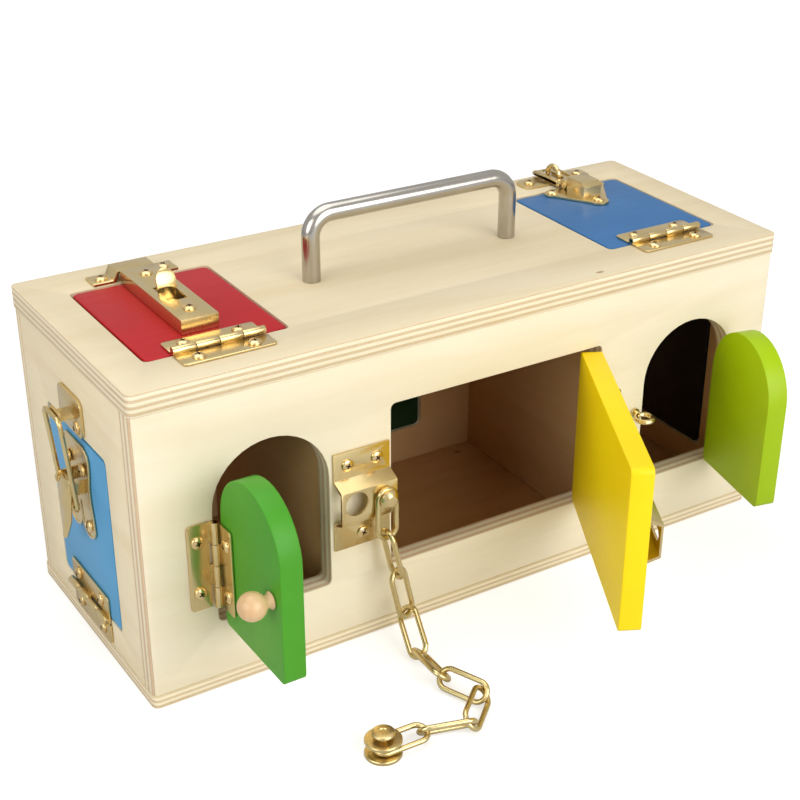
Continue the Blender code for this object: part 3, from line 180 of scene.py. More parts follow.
# The floor: pale, with a glow that only the camera sees. It is weak round the box,
# so that the box's shadow shows, and grows with the distance in metres.
FLOOR_SIZE, FLOOR_LEVEL, FLOOR_GREY = 9, -0.0001, 0.66
GLOW_START, GLOW_STOP, NEAR_GLOW, FAR_GLOW = 0.30, 4.0, 0.52, 0.98


def floor_material():
    mat, tree, shader = new_material("pale_floor")
    shader.inputs["Base Color"].default_value = (FLOOR_GREY, FLOOR_GREY, FLOOR_GREY, 1)
    shader.inputs["Roughness"].default_value = 0.9
    coords = node(tree, "ShaderNodeTexCoord")
    reach = node(tree, "ShaderNodeVectorMath", operation="LENGTH")
    growth = node(tree, "ShaderNodeMapRange", From_Min=GLOW_START, From_Max=GLOW_STOP,
                  To_Min=NEAR_GLOW, To_Max=FAR_GLOW)
    glow = node(tree, "ShaderNodeEmission")
    unlit = node(tree, "ShaderNodeEmission", Strength=0)
    path = node(tree, "ShaderNodeLightPath")
    seen = node(tree, "ShaderNodeMixShader")
    both = node(tree, "ShaderNodeAddShader")
    join_up(tree, (coords.outputs["Object"], reach.inputs[0]),
            (reach.outputs["Value"], growth.inputs["Value"]),
            (growth.outputs["Result"], glow.inputs["Strength"]),
            (path.outputs["Is Camera Ray"], seen.inputs[0]),
            (unlit.outputs[0], seen.inputs[1]),
            (glow.outputs[0], seen.inputs[2]),
            (shader.outputs[0], both.inputs[0]),
            (seen.outputs[0], both.inputs[1]),
            (both.outputs[0], tree.nodes["Material Output"].inputs["Surface"]))
    return mat


def lay_floor():
    bpy.ops.object.select_all(action="DESELECT")
    bpy.ops.mesh.primitive_plane_add(size=FLOOR_SIZE, location=(0, 0, FLOOR_LEVEL))
    floor = bpy.context.object
    floor.name = "studio_floor"
    floor.data.materials.append(floor_material())


build_world()
lay_floor()


# Shader groups: each gives a colour or a mask that several finishes share
def new_group(name, inputs, outputs):
    group = bpy.data.node_groups.new(name, "ShaderNodeTree")
    for label, kind, value in inputs:
        socket = group.interface.new_socket(label, in_out="INPUT", socket_type=kind)
        if value is not None:
            socket.default_value = value
    for label, kind in outputs:
        group.interface.new_socket(label, in_out="OUTPUT", socket_type=kind)
    return group, group.nodes.new("NodeGroupInput").outputs, group.nodes.new("NodeGroupOutput").inputs


def math_node(tree, operation, *values):
    made = node(tree, "ShaderNodeMath", operation=operation)
    for socket, value in zip(made.inputs, values):
        feed(tree, socket, value)
    return made.outputs[0]


def times(tree, first, second):
    return math_node(tree, "MULTIPLY", first, second)


def mix_colour(tree, share, first, second, blend="MIX"):
    made = node(tree, "ShaderNodeMix", data_type="RGBA", blend_type=blend)
    for number, value in ((0, share), (6, first), (7, second)):
        feed(tree, made.inputs[number], value)
    return made.outputs[2]


def noise(tree, place, stretch, detail=3, roughness=0.55, distortion=0):
    # Noise with so many waves to the metre along X, Y and Z of the place given
    laid_out = node(tree, "ShaderNodeMapping", Scale=stretch)
    made = node(tree, "ShaderNodeTexNoise", Scale=1, Detail=detail, Roughness=roughness,
                Distortion=distortion)
    join_up(tree, (place, laid_out.inputs["Vector"]), (laid_out.outputs["Vector"], made.inputs["Vector"]))
    return made.outputs["Fac"]


def ramp(tree, value, start, stop, low_value=0.0, high_value=1.0):
    # A soft step from the low value at start to the high value at stop
    made = node(tree, "ShaderNodeMapRange", interpolation_type="SMOOTHSTEP", From_Min=start,
                From_Max=stop, To_Min=low_value, To_Max=high_value)
    tree.links.new(value, made.inputs["Value"])
    return made.outputs["Result"]


VECTOR, COLOUR, NUMBER = "NodeSocketVector", "NodeSocketColor", "NodeSocketFloat"
FINISH_OUTPUTS = [("Colour", COLOUR), ("Roughness", NUMBER), ("Height", NUMBER)]
WHITE = (1, 1, 1, 1)


def birch_face_group():
    # Grain runs along X of the place given; Z is the thickness
    group, given, result = new_group("birch_face", [
        ("Place", VECTOR, None), ("Light", COLOUR, WHITE), ("Dark", COLOUR, WHITE),
        ("Knot", COLOUR, srgb(150, 104, 58))], FINISH_OUTPUTS)
    place = given["Place"]
    broad = noise(group, place, (5, 34, 34), 3, 0.5, 1.2)
    fine = noise(group, place, (34, 560, 560))
    pores = noise(group, place, (190, 2300, 2300), 2, 0.5)
    grown = math_node(group, "ADD", times(group, broad, 0.80), times(group, fine, 0.20))
    wood = mix_colour(group, ramp(group, grown, 0.34, 0.72, 0.0, 0.75), given["Light"], given["Dark"])
    pore = ramp(group, pores, 0.62, 0.80, 0.0, 0.14)
    pored = mix_colour(group, pore, wood, given["Dark"], "MULTIPLY")
    # Pin knots: small spots at the middles of a few of the cells
    spread = node(group, "ShaderNodeMapping", Scale=(12, 26, 26))
    cells = node(group, "ShaderNodeTexVoronoi", Scale=1)
    join_up(group, (place, spread.inputs["Vector"]), (spread.outputs["Vector"], cells.inputs["Vector"]))
    near = ramp(group, cells.outputs["Distance"], 0.012, 0.045, 1.0, 0.0)
    rare = math_node(group, "GREATER_THAN", cells.outputs["Color"], 0.62)
    knot = times(group, times(group, near, rare), 0.8)
    join_up(group, (mix_colour(group, knot, pored, given["Knot"]), result["Colour"]),
            (ramp(group, fine, 0.3, 0.7, 0.48, 0.60), result["Roughness"]),
            (math_node(group, "SUBTRACT", fine, times(group, pore, 0.8)), result["Height"]))
    return group


def ply_edge_group():
    # Layers stacked along Z of the place given, every second one end grain
    group, given, result = new_group("ply_edge", [
        ("Place", VECTOR, None), ("Layer", NUMBER, 0.0017), ("Dark", COLOUR, WHITE),
        ("Light", COLOUR, srgb(245, 231, 200)), ("Glue", COLOUR, srgb(158, 122, 80))],
        [("Colour", COLOUR), ("Height", NUMBER)])
    place = given["Place"]
    split = node(group, "ShaderNodeSeparateXYZ")
    group.links.new(place, split.inputs[0])
    wander = noise(group, place, (30, 30, 30), 2)
    nudge = times(group, math_node(group, "SUBTRACT", wander, 0.5), 0.0006)
    level = math_node(group, "ADD", split.outputs["Z"], nudge)
    layer = math_node(group, "DIVIDE", level, given["Layer"])
    half = math_node(group, "PINGPONG", layer, 1.0)
    end_grain = ramp(group, half, 0.60, 0.82)
    joint = math_node(group, "ABSOLUTE", math_node(group, "SUBTRACT", half, 0.62))
    glue = ramp(group, joint, 0.02, 0.11, 0.60, 0.0)
    speck = noise(group, place, (700, 700, 700), 3, 0.7)
    lines = noise(group, place, (40, 40, 1100), 3, 0.6)
    strength = times(group, end_grain, ramp(group, speck, 0.25, 0.7, 0.65, 0.95))
    wood = mix_colour(group, strength, given["Light"], given["Dark"])
    lined = mix_colour(group, ramp(group, lines, 0.50, 0.78, 0.0, 0.30), wood, given["Dark"], "MULTIPLY")
    height = math_node(group, "ADD", times(group, end_grain, -0.6), times(group, speck, 0.4))
    join_up(group, (mix_colour(group, glue, lined, given["Glue"]), result["Colour"]),
            (height, result["Height"]))
    return group


def metal_wear_group():
    # Long fine rolling lines and a faint patchiness for the metal pieces
    group, given, result = new_group("metal_wear", [
        ("Place", VECTOR, None), ("Bright", COLOUR, WHITE), ("Dull", COLOUR, WHITE),
        ("Low", NUMBER, 0.2), ("High", NUMBER, 0.4)], FINISH_OUTPUTS)
    place = given["Place"]
    patch = noise(group, place, (38, 38, 38), 2, 0.5)
    lines = noise(group, place, (5200, 90, 90), 2, 0.6)
    crossing = noise(group, place, (90, 5200, 90), 2, 0.6)
    rolled = times(group, math_node(group, "ADD", lines, crossing), 0.5)
    mask = ramp(group, patch, 0.36, 0.68)
    spread = math_node(group, "SUBTRACT", given["High"], given["Low"])
    share = math_node(group, "ADD", times(group, mask, 0.5), times(group, rolled, 0.5))
    join_up(group, (mix_colour(group, mask, given["Bright"], given["Dull"]), result["Colour"]),
            (math_node(group, "MULTIPLY_ADD", spread, share, given["Low"]), result["Roughness"]),
            (rolled, result["Height"]))
    return group


def door_paint_group():
    # Even paint over ply, a trace of grain in its sheen and small pits
    group, given, result = new_group("door_paint", [
        ("Place", VECTOR, None), ("Paint", COLOUR, WHITE), ("Shade", COLOUR, WHITE)], FINISH_OUTPUTS)
    place = given["Place"]
    cloud = noise(group, place, (14, 20, 20), 3, 0.5)
    grain = noise(group, place, (30, 420, 420))
    peel = noise(group, place, (420, 420, 420), 2, 0.5)
    height = math_node(group, "ADD", times(group, grain, 0.2), times(group, peel, 0.5))
    join_up(group, (mix_colour(group, ramp(group, cloud, 0.34, 0.70), given["Paint"], given["Shade"]),
                    result["Colour"]),
            (ramp(group, grain, 0.3, 0.7, 0.40, 0.45), result["Roughness"]),
            (height, result["Height"]))
    return group


BIRCH_FACE = birch_face_group()
PLY_EDGE = ply_edge_group()
METAL_WEAR = metal_wear_group()
DOOR_PAINT = door_paint_group()


# Finishes
def bumped(tree, shader, height, strength, distance):
    bump = node(tree, "ShaderNodeBump", Strength=strength, Distance=distance)
    join_up(tree, (height, bump.inputs["Height"]), (bump.outputs["Normal"], shader.inputs["Normal"]))


def use_group(tree, group, **values):
    made = node(tree, "ShaderNodeGroup", node_tree=group)
    for key, value in values.items():
        feed(tree, made.inputs[key], value)
    return made


def laid(tree, turn, shift=(0, 0, 0)):
    # The piece's own place, turned so that grain runs along X and Z is thickness
    coords = node(tree, "ShaderNodeTexCoord")
    made = node(tree, "ShaderNodeMapping", Rotation=turn, Location=shift)
    tree.links.new(coords.outputs["Object"], made.inputs["Vector"])
    return made.outputs["Vector"]


def split_coordinate(tree, output):
    coords = node(tree, "ShaderNodeTexCoord")
    split = node(tree, "ShaderNodeSeparateXYZ")
    tree.links.new(coords.outputs[output], split.inputs[0])
    return split.outputs


def facing(tree, axis):
    # 1 where the surface faces along the piece's own axis, 0 on its edges
    size = math_node(tree, "ABSOLUTE", split_coordinate(tree, "Normal")[axis])
    return ramp(tree, size, 0.70, 0.80)


# How the grain lies in a sheet whose thickness is along X, Y or Z of the box
LYING = ((0, QUARTER, QUARTER), (QUARTER, 0, 0), (0, 0, 0))
IN_X, IN_Y, IN_Z = 0, 1, 2
INSIDE_MARGIN = 0.0003


def inside_shade_mask(tree):
    # 1 on the faces that look into the box, which the photograph shows browner: there the wood gets painted
    # shade
    limits = ((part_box("left_end_panel")[1].x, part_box("right_end_panel")[0].x),
              (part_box("front_panel")[1].y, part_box("back_panel")[0].y),
              (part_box("bottom_panel")[1].z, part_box("top_panel")[0].z))
    places = split_coordinate(tree, "Object")
    mask = 1.0
    for place, (start, stop) in zip(places, limits):
        away = math_node(tree, "ABSOLUTE", math_node(tree, "SUBTRACT", place, (start + stop) / 2))
        within = math_node(tree, "LESS_THAN", away, (stop - start) / 2 + INSIDE_MARGIN)
        mask = times(tree, within, mask)
    return mask


PLAIN_BIRCH = (233, 218, 184), (224, 204, 164)
FRONT_BIRCH = (244, 232, 203), (238, 222, 188)
END_BIRCH = (247, 232, 197), (238, 218, 177)
PALE_BAND, DARK_BAND = (212, 182, 136), (216, 178, 138)
# Painted shade, multiplied into the wood of the walls and of the floor inside the box
WALL_PAINTED_SHADE, FLOOR_PAINTED_SHADE = (0.78, 0.56, 0.37, 1), (0.74, 0.48, 0.27, 1)


def ply(name, axis, shift, layer, wood=PLAIN_BIRCH, band=PALE_BAND, inner_tint=WALL_PAINTED_SHADE):
    light, dark = wood
    mat, tree, shader = new_material(name)
    place = laid(tree, LYING[axis], shift)
    face = use_group(tree, BIRCH_FACE, Place=place, Light=srgb(*light), Dark=srgb(*dark)).outputs
    edge = use_group(tree, PLY_EDGE, Place=place, Layer=layer, Dark=srgb(*band)).outputs
    mask = facing(tree, axis)
    outside = mix_colour(tree, mask, edge["Colour"], face["Colour"])
    # The faces inside the box are darkened and browned with painted shade
    inner = times(tree, inside_shade_mask(tree), mask)
    height = node(tree, "ShaderNodeMix")
    join_up(tree, (mix_colour(tree, inner, outside, inner_tint, "MULTIPLY"), shader.inputs["Base Color"]),
            (face["Roughness"], shader.inputs["Roughness"]),
            (mask, height.inputs[0]), (edge["Height"], height.inputs[2]),
            (face["Height"], height.inputs[3]))
    bumped(tree, shader, height.outputs[0], 0.12, 0.0002)
    shader.inputs["Specular IOR Level"].default_value = 0.3
    return mat


def painted(name, paint, shade, axis):
    mat, tree, shader = new_material(name)
    coat = use_group(tree, DOOR_PAINT, Place=laid(tree, LYING[axis]), Paint=srgb(*paint),
                     Shade=srgb(*shade)).outputs
    join_up(tree, (coat["Colour"], shader.inputs["Base Color"]),
            (coat["Roughness"], shader.inputs["Roughness"]))
    bumped(tree, shader, coat["Height"], 0.10, 0.00018)
    shader.inputs["Specular IOR Level"].default_value = 0.32
    return mat


def metal(name, bright, dull, low, high, strength=0.02):
    mat, tree, shader = new_material(name)
    place = node(tree, "ShaderNodeTexCoord").outputs["Object"]
    wear = use_group(tree, METAL_WEAR, Place=place, Bright=srgb(*bright), Dull=srgb(*dull),
                     Low=low, High=high).outputs
    shader.inputs["Metallic"].default_value = 1.0
    join_up(tree, (wear["Colour"], shader.inputs["Base Color"]),
            (wear["Roughness"], shader.inputs["Roughness"]))
    bumped(tree, shader, wear["Height"], strength, 0.00008)
    return mat


def beech():
    mat, tree, shader = new_material("turned_beech")
    place = laid(tree, (0, QUARTER, 0), (0.013, 0.027, 0.011))
    wood = use_group(tree, BIRCH_FACE, Place=place, Light=srgb(232, 196, 148),
                     Dark=srgb(205, 158, 108), Knot=srgb(186, 138, 90)).outputs
    tree.links.new(wood["Colour"], shader.inputs["Base Color"])
    shader.inputs["Roughness"].default_value = 0.38
    shader.inputs["Coat Weight"].default_value = 0.3
    shader.inputs["Coat Roughness"].default_value = 0.2
    bumped(tree, shader, wood["Height"], 0.12, 0.00012)
    return mat


BRASS = metal("satin_brass", (222, 200, 148), (216, 192, 138), 0.20, 0.30)
POLISHED_BRASS = metal("polished_brass", (230, 204, 148), (224, 196, 138), 0.20, 0.28, 0.01)
CHAIN_BRASS = metal("drawn_brass", (222, 202, 150), (210, 188, 134), 0.20, 0.32)
SCREW_BRASS = metal("screw_brass", (232, 206, 154), (216, 184, 128), 0.18, 0.30)
# The screws' cross recesses: dark brown, painted shade
RECESS_PAINTED_SHADE = metal("recess_shade", (74, 50, 28), (60, 40, 22), 0.45, 0.60)
STAINLESS = metal("satin_stainless", (190, 185, 177), (180, 175, 167), 0.16, 0.24, 0.015)
BEECH = beech()


def dress(name, mat):
    materials = nodes[name].data.materials
    materials.clear()
    materials.append(mat)


def dress_sheets(names, finish, axis, shift, layers, **looks):
    near_corner, far_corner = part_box(names[0])
    thickness = far_corner[axis] - near_corner[axis]
    sheet_finish = ply(finish, axis, shift, thickness / layers, **looks)
    for name in names:
        dress(name, sheet_finish)


dress_sheets(["top_panel"], "top_sheet_ply", IN_Z, (0.31, 0.07, 0), 7)
dress_sheets(["bottom_panel"], "bottom_sheet_ply", IN_Z, (0.11, 0.32, 0), 5, inner_tint=FLOOR_PAINTED_SHADE)
dress_sheets(["front_panel"], "front_sheet_ply", IN_Y, (0.02, 0.41, 0), 5, wood=FRONT_BIRCH, band=DARK_BAND)
dress_sheets(["back_panel"], "back_sheet_ply", IN_Y, (0.53, 0.13, 0), 5, wood=FRONT_BIRCH)
dress_sheets(["left_end_panel"], "left_end_ply", IN_X, (0.21, 0.17, 0), 5, wood=END_BIRCH)
dress_sheets(["right_end_panel"], "right_end_ply", IN_X, (0.61, 0.27, 0), 5, wood=END_BIRCH)
dress_sheets(["left_divider", "right_divider"], "divider_ply", IN_X, (0.44, 0.37, 0), 5)

# Piece, finish, paint, its shade, and the axis of its thickness when the door is shut
PAINTED_DOORS = (
    ("red_top_door", "red_paint", (186, 20, 30), (176, 16, 26), IN_Z),
    ("blue_top_door", "blue_paint", (58, 112, 166), (52, 105, 158), IN_Z),
    ("blue_side_door", "blue_side_paint", (90, 164, 212), (82, 156, 204), IN_X),
    ("black_side_door", "black_paint", (34, 32, 30), (28, 27, 26), IN_X),
    ("dark_green_back_door", "dark_green_paint", (34, 66, 44), (28, 56, 36), IN_Y),
    ("green_arch_door", "green_paint", (78, 158, 40), (70, 150, 36), IN_Y),
    ("yellow_door", "yellow_paint", (254, 222, 0), (251, 215, 0), IN_Y),
    ("lime_arch_door", "lime_paint", (160, 192, 0), (152, 184, 0), IN_Y))
for name, finish, paint, shade, axis in PAINTED_DOORS:
    dress(name, painted(finish, paint, shade, axis))

FORMED_PLATES = ("chain_anchor", "chain_track", "slide_channel", "slide_strike", "slide_bolt", "hasp_base",
                 "hasp_strap", "hasp_staple", "toggle_base", "toggle_keeper", "toggle_lever")
DRAWN_PIECES = ("toggle_bail", "frame_eye", "hook", "black_turn_button", "back_turn_button")
for name in nodes:
    if "hinge" in name or name in FORMED_PLATES:
        dress(name, BRASS)
    elif name.startswith("chain_") or name in DRAWN_PIECES:
        dress(name, CHAIN_BRASS)


# The lime door's screw eye is one with its door, so the faces that stand out of the door's sheet are brass
def brass_eye(name, smallest_sheet_face=0.00002, margin=0.0001):
    door = nodes[name].data
    door.materials.append(CHAIN_BRASS)
    widest = max(door.polygons, key=lambda polygon: polygon.area)
    heights = [(polygon.center - widest.center).dot(widest.normal) for polygon in door.polygons]
    sheet = [height for height, polygon in zip(heights, door.polygons)
             if polygon.area > smallest_sheet_face]
    for height, polygon in zip(heights, door.polygons):
        if not min(sheet) - margin < height < max(sheet) + margin:
            polygon.material_index = 1


brass_eye("lime_arch_door")


# Modelling by hand tools: each helper leaves one object at the origin
def pick(*things):
    bpy.ops.object.select_all(action="DESELECT")
    for thing in things:
        thing.select_set(True)
    bpy.context.view_layer.objects.active = things[0]


def begin(name, primitive, **values):
    bpy.ops.object.select_all(action="DESELECT")
    primitive(**values)
    thing = bpy.context.object
    thing.name = name
    thing.data.name = name
    bpy.ops.object.transform_apply(location=True, rotation=True, scale=True)
    bpy.ops.object.mode_set(mode="EDIT")
    bpy.ops.mesh.select_all(action="SELECT")
    return thing


def draw_out(way):
    bpy.ops.mesh.extrude_region_move(TRANSFORM_OT_translate={"value": tuple(way)})


def drawn_line(name, points):
    # An edge line drawn out through the points from a single vertex, all of it selected
    thing = begin(name, bpy.ops.mesh.primitive_plane_add, size=0.001)
    bpy.ops.mesh.merge(type="CENTER")
    bpy.ops.mesh.select_all(action="SELECT")
    bpy.ops.transform.translate(value=points[0])
    for before, after in zip(points, points[1:]):
        draw_out([b - a for a, b in zip(before, after)])
    bpy.ops.mesh.select_all(action="SELECT")
    return thing


def spin_round(centre, axis, degrees, steps):
    # Spin turns the other way from a rotation, so the angle is negated
    bpy.ops.mesh.spin(steps=steps, angle=-math.radians(degrees), center=centre, axis=axis)


def close_up(thing, fill=True):
    bpy.ops.mesh.select_all(action="SELECT")
    bpy.ops.mesh.remove_doubles(threshold=0.000004)
    if fill:
        bpy.ops.mesh.fill_holes(sides=0)
        bpy.ops.mesh.select_all(action="SELECT")
    bpy.ops.mesh.normals_make_consistent(inside=False)
    bpy.ops.object.mode_set(mode="OBJECT")
    return thing


def smooth(thing, degrees):
    pick(thing)
    bpy.ops.object.shade_smooth_by_angle(angle=math.radians(degrees))


def add_step(thing, name, kind, **values):
    step = thing.modifiers.new(name, kind)
    for key, value in values.items():
        setattr(step, key, value)
    return step


def apply_step(thing, kind, **values):
    step = add_step(thing, kind.lower(), kind, **values)
    pick(thing)
    bpy.ops.object.modifier_apply(modifier=step.name)


def softened(thing, width, segments=2, degrees=35):
    apply_step(thing, "BEVEL", width=width, segments=segments, limit_method="ANGLE",
               angle_limit=math.radians(degrees))


def bar(name, radius, sides, start, facing, moves, fill=True):
    # Round bar: a ring drawn along straights and spun round bends
    thing = begin(name, bpy.ops.mesh.primitive_circle_add, vertices=sides, radius=radius,
                  fill_type="NOTHING", location=start, rotation=facing)
    for move in moves:
        if len(move) == 3:
            draw_out(move)
        else:
            spin_round(*move)
    return close_up(thing, fill)


def lathe(name, profile, steps):
    # Profile is radius and height pairs, from the axis and back to it
    thing = drawn_line(name, [(radius, 0, height) for radius, height in profile])
    spin_round((0, 0, 0), (0, 0, 1), 360, steps)
    return close_up(thing, False)


def slab(name, x_span, y_span, z_span):
    thing = begin(name, bpy.ops.mesh.primitive_cube_add, size=1)
    bpy.ops.object.mode_set(mode="OBJECT")
    spans = (x_span, y_span, z_span)
    thing.data.transform(Matrix.Translation([(a + b) / 2 for a, b in spans])
                         @ Matrix.Diagonal([abs(b - a) for a, b in spans] + [1]))
    return thing


def rounded_corners(thing, chosen, radius, segments=5):
    # Bevels the upright edges whose place passes the test
    pick(thing)
    bpy.ops.object.mode_set(mode="EDIT")
    bpy.ops.mesh.select_all(action="DESELECT")
    bm = bmesh.from_edit_mesh(thing.data)
    for edge in bm.edges:
        first, second = (vert.co for vert in edge.verts)
        if (first.xy - second.xy).length < 0.000001 and chosen(first):
            edge.select_set(True)
    bmesh.update_edit_mesh(thing.data)
    bpy.ops.mesh.bevel(offset=radius, segments=segments, affect="EDGES")
    bpy.ops.object.mode_set(mode="OBJECT")


def twin(pattern, name, matrix):
    # A copy with its own mesh, its place put into the mesh
    copied = pattern.copy()
    copied.data = pattern.data.copy()
    copied.name = name
    copied.data.name = name
    scene.collection.objects.link(copied)
    copied.data.transform(matrix)
    return copied


def drop(*things):
    for thing in things:
        mesh = thing.data
        bpy.data.objects.remove(thing, do_unlink=True)
        bpy.data.meshes.remove(mesh)


def cut_out(thing, cutter):
    apply_step(thing, "BOOLEAN", operation="DIFFERENCE", solver="EXACT", object=cutter)


def joined(name, parts):
    pick(*parts)
    if len(parts) > 1:
        bpy.ops.object.join()
    parts[0].name = name
    parts[0].data.name = name
    return parts[0]


def settle(piece, mat, node_name, stands_for=None):
    # Material, slot, body to ride on, and the CAD node that it stands for
    if mat:
        piece.data.materials.clear()
        piece.data.materials.append(mat)
    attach(piece, nodes[node_name]["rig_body"])
    if stands_for:
        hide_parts(*stands_for)


MERGE_DISTANCE = 0.000002


def merged(name):
    bm = bmesh.new()
    bm.from_mesh(nodes[name].data)
    bmesh.ops.remove_doubles(bm, verts=bm.verts, dist=MERGE_DISTANCE)
    return bm


def principal_frame(name):
    # Centre, and the long, middle and short directions of a CAD node
    bm = merged(name)
    points = np.array([v.co for v in bm.verts])
    bm.free()
    centre = points.mean(0)
    _, vectors = np.linalg.eigh(np.cov((points - centre).T))
    middle, long = Vector(vectors[:, 1]), Vector(vectors[:, 2])
    return Vector(centre), long, middle, long.cross(middle)


# Crisp, softly rounded edges on the CAD pieces, as live modifiers
SMOOTH_ANGLE = math.radians(38)
FLAT_ANGLE = math.radians(0.6)
EDGE_ANGLE = math.radians(35)


def smooth_by_angle_group():
    group = bpy.data.node_groups.new("smooth_by_angle", "GeometryNodeTree")
    group.interface.new_socket("Geometry", in_out="INPUT", socket_type="NodeSocketGeometry")
    group.interface.new_socket("Geometry", in_out="OUTPUT", socket_type="NodeSocketGeometry")
    start = group.nodes.new("NodeGroupInput")
    end = group.nodes.new("NodeGroupOutput")
    angle = group.nodes.new("GeometryNodeInputMeshEdgeAngle")
    under = node(group, "FunctionNodeCompare", data_type="FLOAT", operation="LESS_EQUAL")
    under.inputs[1].default_value = SMOOTH_ANGLE
    edges = node(group, "GeometryNodeSetShadeSmooth", domain="EDGE")
    faces = node(group, "GeometryNodeSetShadeSmooth", domain="FACE")
    join_up(group, (angle.outputs["Unsigned Angle"], under.inputs[0]),
            (start.outputs[0], edges.inputs["Geometry"]),
            (under.outputs[0], edges.inputs["Shade Smooth"]),
            (edges.outputs[0], faces.inputs["Geometry"]),
            (faces.outputs[0], end.inputs[0]))
    return group


SMOOTHING = smooth_by_angle_group()


def finish_edges(name, width, cutter=None, segments=2):
    thing = nodes[name]
    add_step(thing, "weld", "WELD", merge_threshold=MERGE_DISTANCE)
    if cutter is not None:
        add_step(thing, "head_room", "BOOLEAN", operation="DIFFERENCE", solver="EXACT", object=cutter)
    add_step(thing, "flat", "DECIMATE", decimate_type="DISSOLVE", angle_limit=FLAT_ANGLE)
    if width:
        add_step(thing, "edges", "BEVEL", width=width, segments=segments, limit_method="ANGLE",
                 angle_limit=EDGE_ANGLE)
    add_step(thing, "shading", "NODES", node_group=SMOOTHING)


# Screws: the place of each is found from the flat ten-sided crown of its CAD head
CAD_HEAD_RADIUS = 0.0029
CAD_HEAD_HEIGHT = 0.0018
CROWN_RADIUS = CAD_HEAD_RADIUS * 0.62
CROWN_SIDES = 10
CROWN_AREA = CROWN_SIDES / 2 * CROWN_RADIUS ** 2 * math.sin(math.tau / CROWN_SIDES)
CROWN_LEEWAY = 0.03
# The pan head that is seen: its foot just inside the plate, its dome a quarter ellipse
PAN_RADIUS = 0.0035
PAN_FOOT = -0.0002
DOME_LEVEL = 0.0005
DOME_RISE = 0.00128
PAN_STEPS = 28
RECESS_LENGTH, RECESS_WIDTH, RECESS_DEPTH, RECESS_LEVEL = 0.0041, 0.00098, 0.0020, 0.0015
RECESS_FOOT_LENGTH, RECESS_FOOT_WIDTH = 0.45, 0.55
# The faces of the recess lie inside this share of the dome's ellipse and over this level
RECESS_SHARE, RECESS_LOWEST = 0.92, 0.0002
ROOM_RADIUS, ROOM_DEPTH, ROOM_LEVEL = 0.0036, 0.0022, 0.00112


def screw_places(name):
    bm = merged(name)
    bmesh.ops.dissolve_limit(bm, angle_limit=FLAT_ANGLE, verts=bm.verts, edges=bm.edges)
    found = []
    for face in bm.faces:
        if len(face.verts) == CROWN_SIDES and abs(face.calc_area() / CROWN_AREA - 1) < CROWN_LEEWAY:
            found.append((face.calc_center_median(), face.normal.copy()))
    bm.free()
    return found


def screw_frame(centre, normal, turn):
    side = normal.orthogonal().normalized()
    side = Matrix.Rotation(turn, 3, normal) @ side
    base = centre - normal * CAD_HEAD_HEIGHT
    return frame_of(side, normal.cross(side), normal, base)


def recess_blade(turn):
    # One arm of the cross recess, narrower at its foot
    blade = begin("recess", bpy.ops.mesh.primitive_cube_add, size=1)
    bpy.ops.object.mode_set(mode="OBJECT")
    blade.data.transform(Matrix.Diagonal((RECESS_LENGTH, RECESS_WIDTH, RECESS_DEPTH, 1)))
    for vert in blade.data.vertices:
        if vert.co.z < 0:
            vert.co.x *= RECESS_FOOT_LENGTH
            vert.co.y *= RECESS_FOOT_WIDTH
    blade.data.transform(Matrix.Rotation(turn, 4, "Z") @ Matrix.Translation((0, 0, RECESS_LEVEL)))
    return blade


def pan_head():
    # Domed head with a cross recess, coloured dark brown as painted shade
    dome = [(PAN_RADIUS * math.cos(angle), DOME_LEVEL + DOME_RISE * math.sin(angle))
            for angle in map(math.radians, (0, 16, 32, 48, 64, 78))]
    head = lathe("pan_head", [(0, PAN_FOOT), (PAN_RADIUS - 0.00015, PAN_FOOT), (PAN_RADIUS, 0.0001)]
                 + dome + [(0, DOME_LEVEL + DOME_RISE)], PAN_STEPS)
    for turn in (0, QUARTER):
        blade = recess_blade(turn)
        cut_out(head, blade)
        drop(blade)
    head.data.materials.append(SCREW_BRASS)
    head.data.materials.append(RECESS_PAINTED_SHADE)
    # Faces inside the recess get the painted shade
    for polygon in head.data.polygons:
        place = polygon.center
        reach = (place.xy.length / PAN_RADIUS) ** 2 + ((place.z - DOME_LEVEL) / DOME_RISE) ** 2
        polygon.material_index = int(reach < RECESS_SHARE and place.z > RECESS_LOWEST)
    smooth(head, 40)
    return head


def head_room():
    # Room for the CAD head, cut out of its plate
    room = begin("head_room", bpy.ops.mesh.primitive_cylinder_add, vertices=24, radius=ROOM_RADIUS,
                 depth=ROOM_DEPTH)
    bpy.ops.object.mode_set(mode="OBJECT")
    room.data.transform(Matrix.Translation((0, 0, ROOM_LEVEL)))
    return room


screw_pattern = pan_head()
room_pattern = head_room()
screw_turns = np.random.RandomState(7)


def fit_screws(name, fused=True):
    # Visual heads and, on a plate that is seen, the hidden cutters that clear its CAD heads away
    heads, rooms = [], []
    for number, (centre, normal) in enumerate(screw_places(name)):
        place = screw_frame(centre, normal, screw_turns.uniform(0, QUARTER))
        heads.append(twin(screw_pattern, "%s_screw_%d" % (name, number), place))
        if fused:
            rooms.append(twin(room_pattern, "room", place))
    settle(joined(name + "_screws", heads), None, name)
    if not fused:
        return None
    cutter = joined(name + "_head_room", rooms)
    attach(cutter, nodes[name]["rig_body"])
    cutter.hide_render = True
    cutter.display_type = "WIRE"
    return cutter


# Hinge leaves: a stamped plate whose tongues are rolled round the pin. X runs along the pin,
# Y away from it, Z out of the plate, all measured from the pin's middle.
HINGE_LENGTH, HINGE_REACH = 0.050, 0.0145
BARREL_RADIUS, PIN_RADIUS = 0.0021, 0.0011
LEAF_LOW, LEAF_HIGH = -0.0024, -0.0014
LEAF_CORNER = 0.002
PLATE_START = 0.0027
RUN_GAP = 0.0003
SCREW_REACH = 0.009
KNUCKLES = 4
KNUCKLE_LENGTH = (HINGE_LENGTH - (KNUCKLES - 1) * RUN_GAP) / KNUCKLES
DOOR_SIDE, FRAME_SIDE = 1, -1


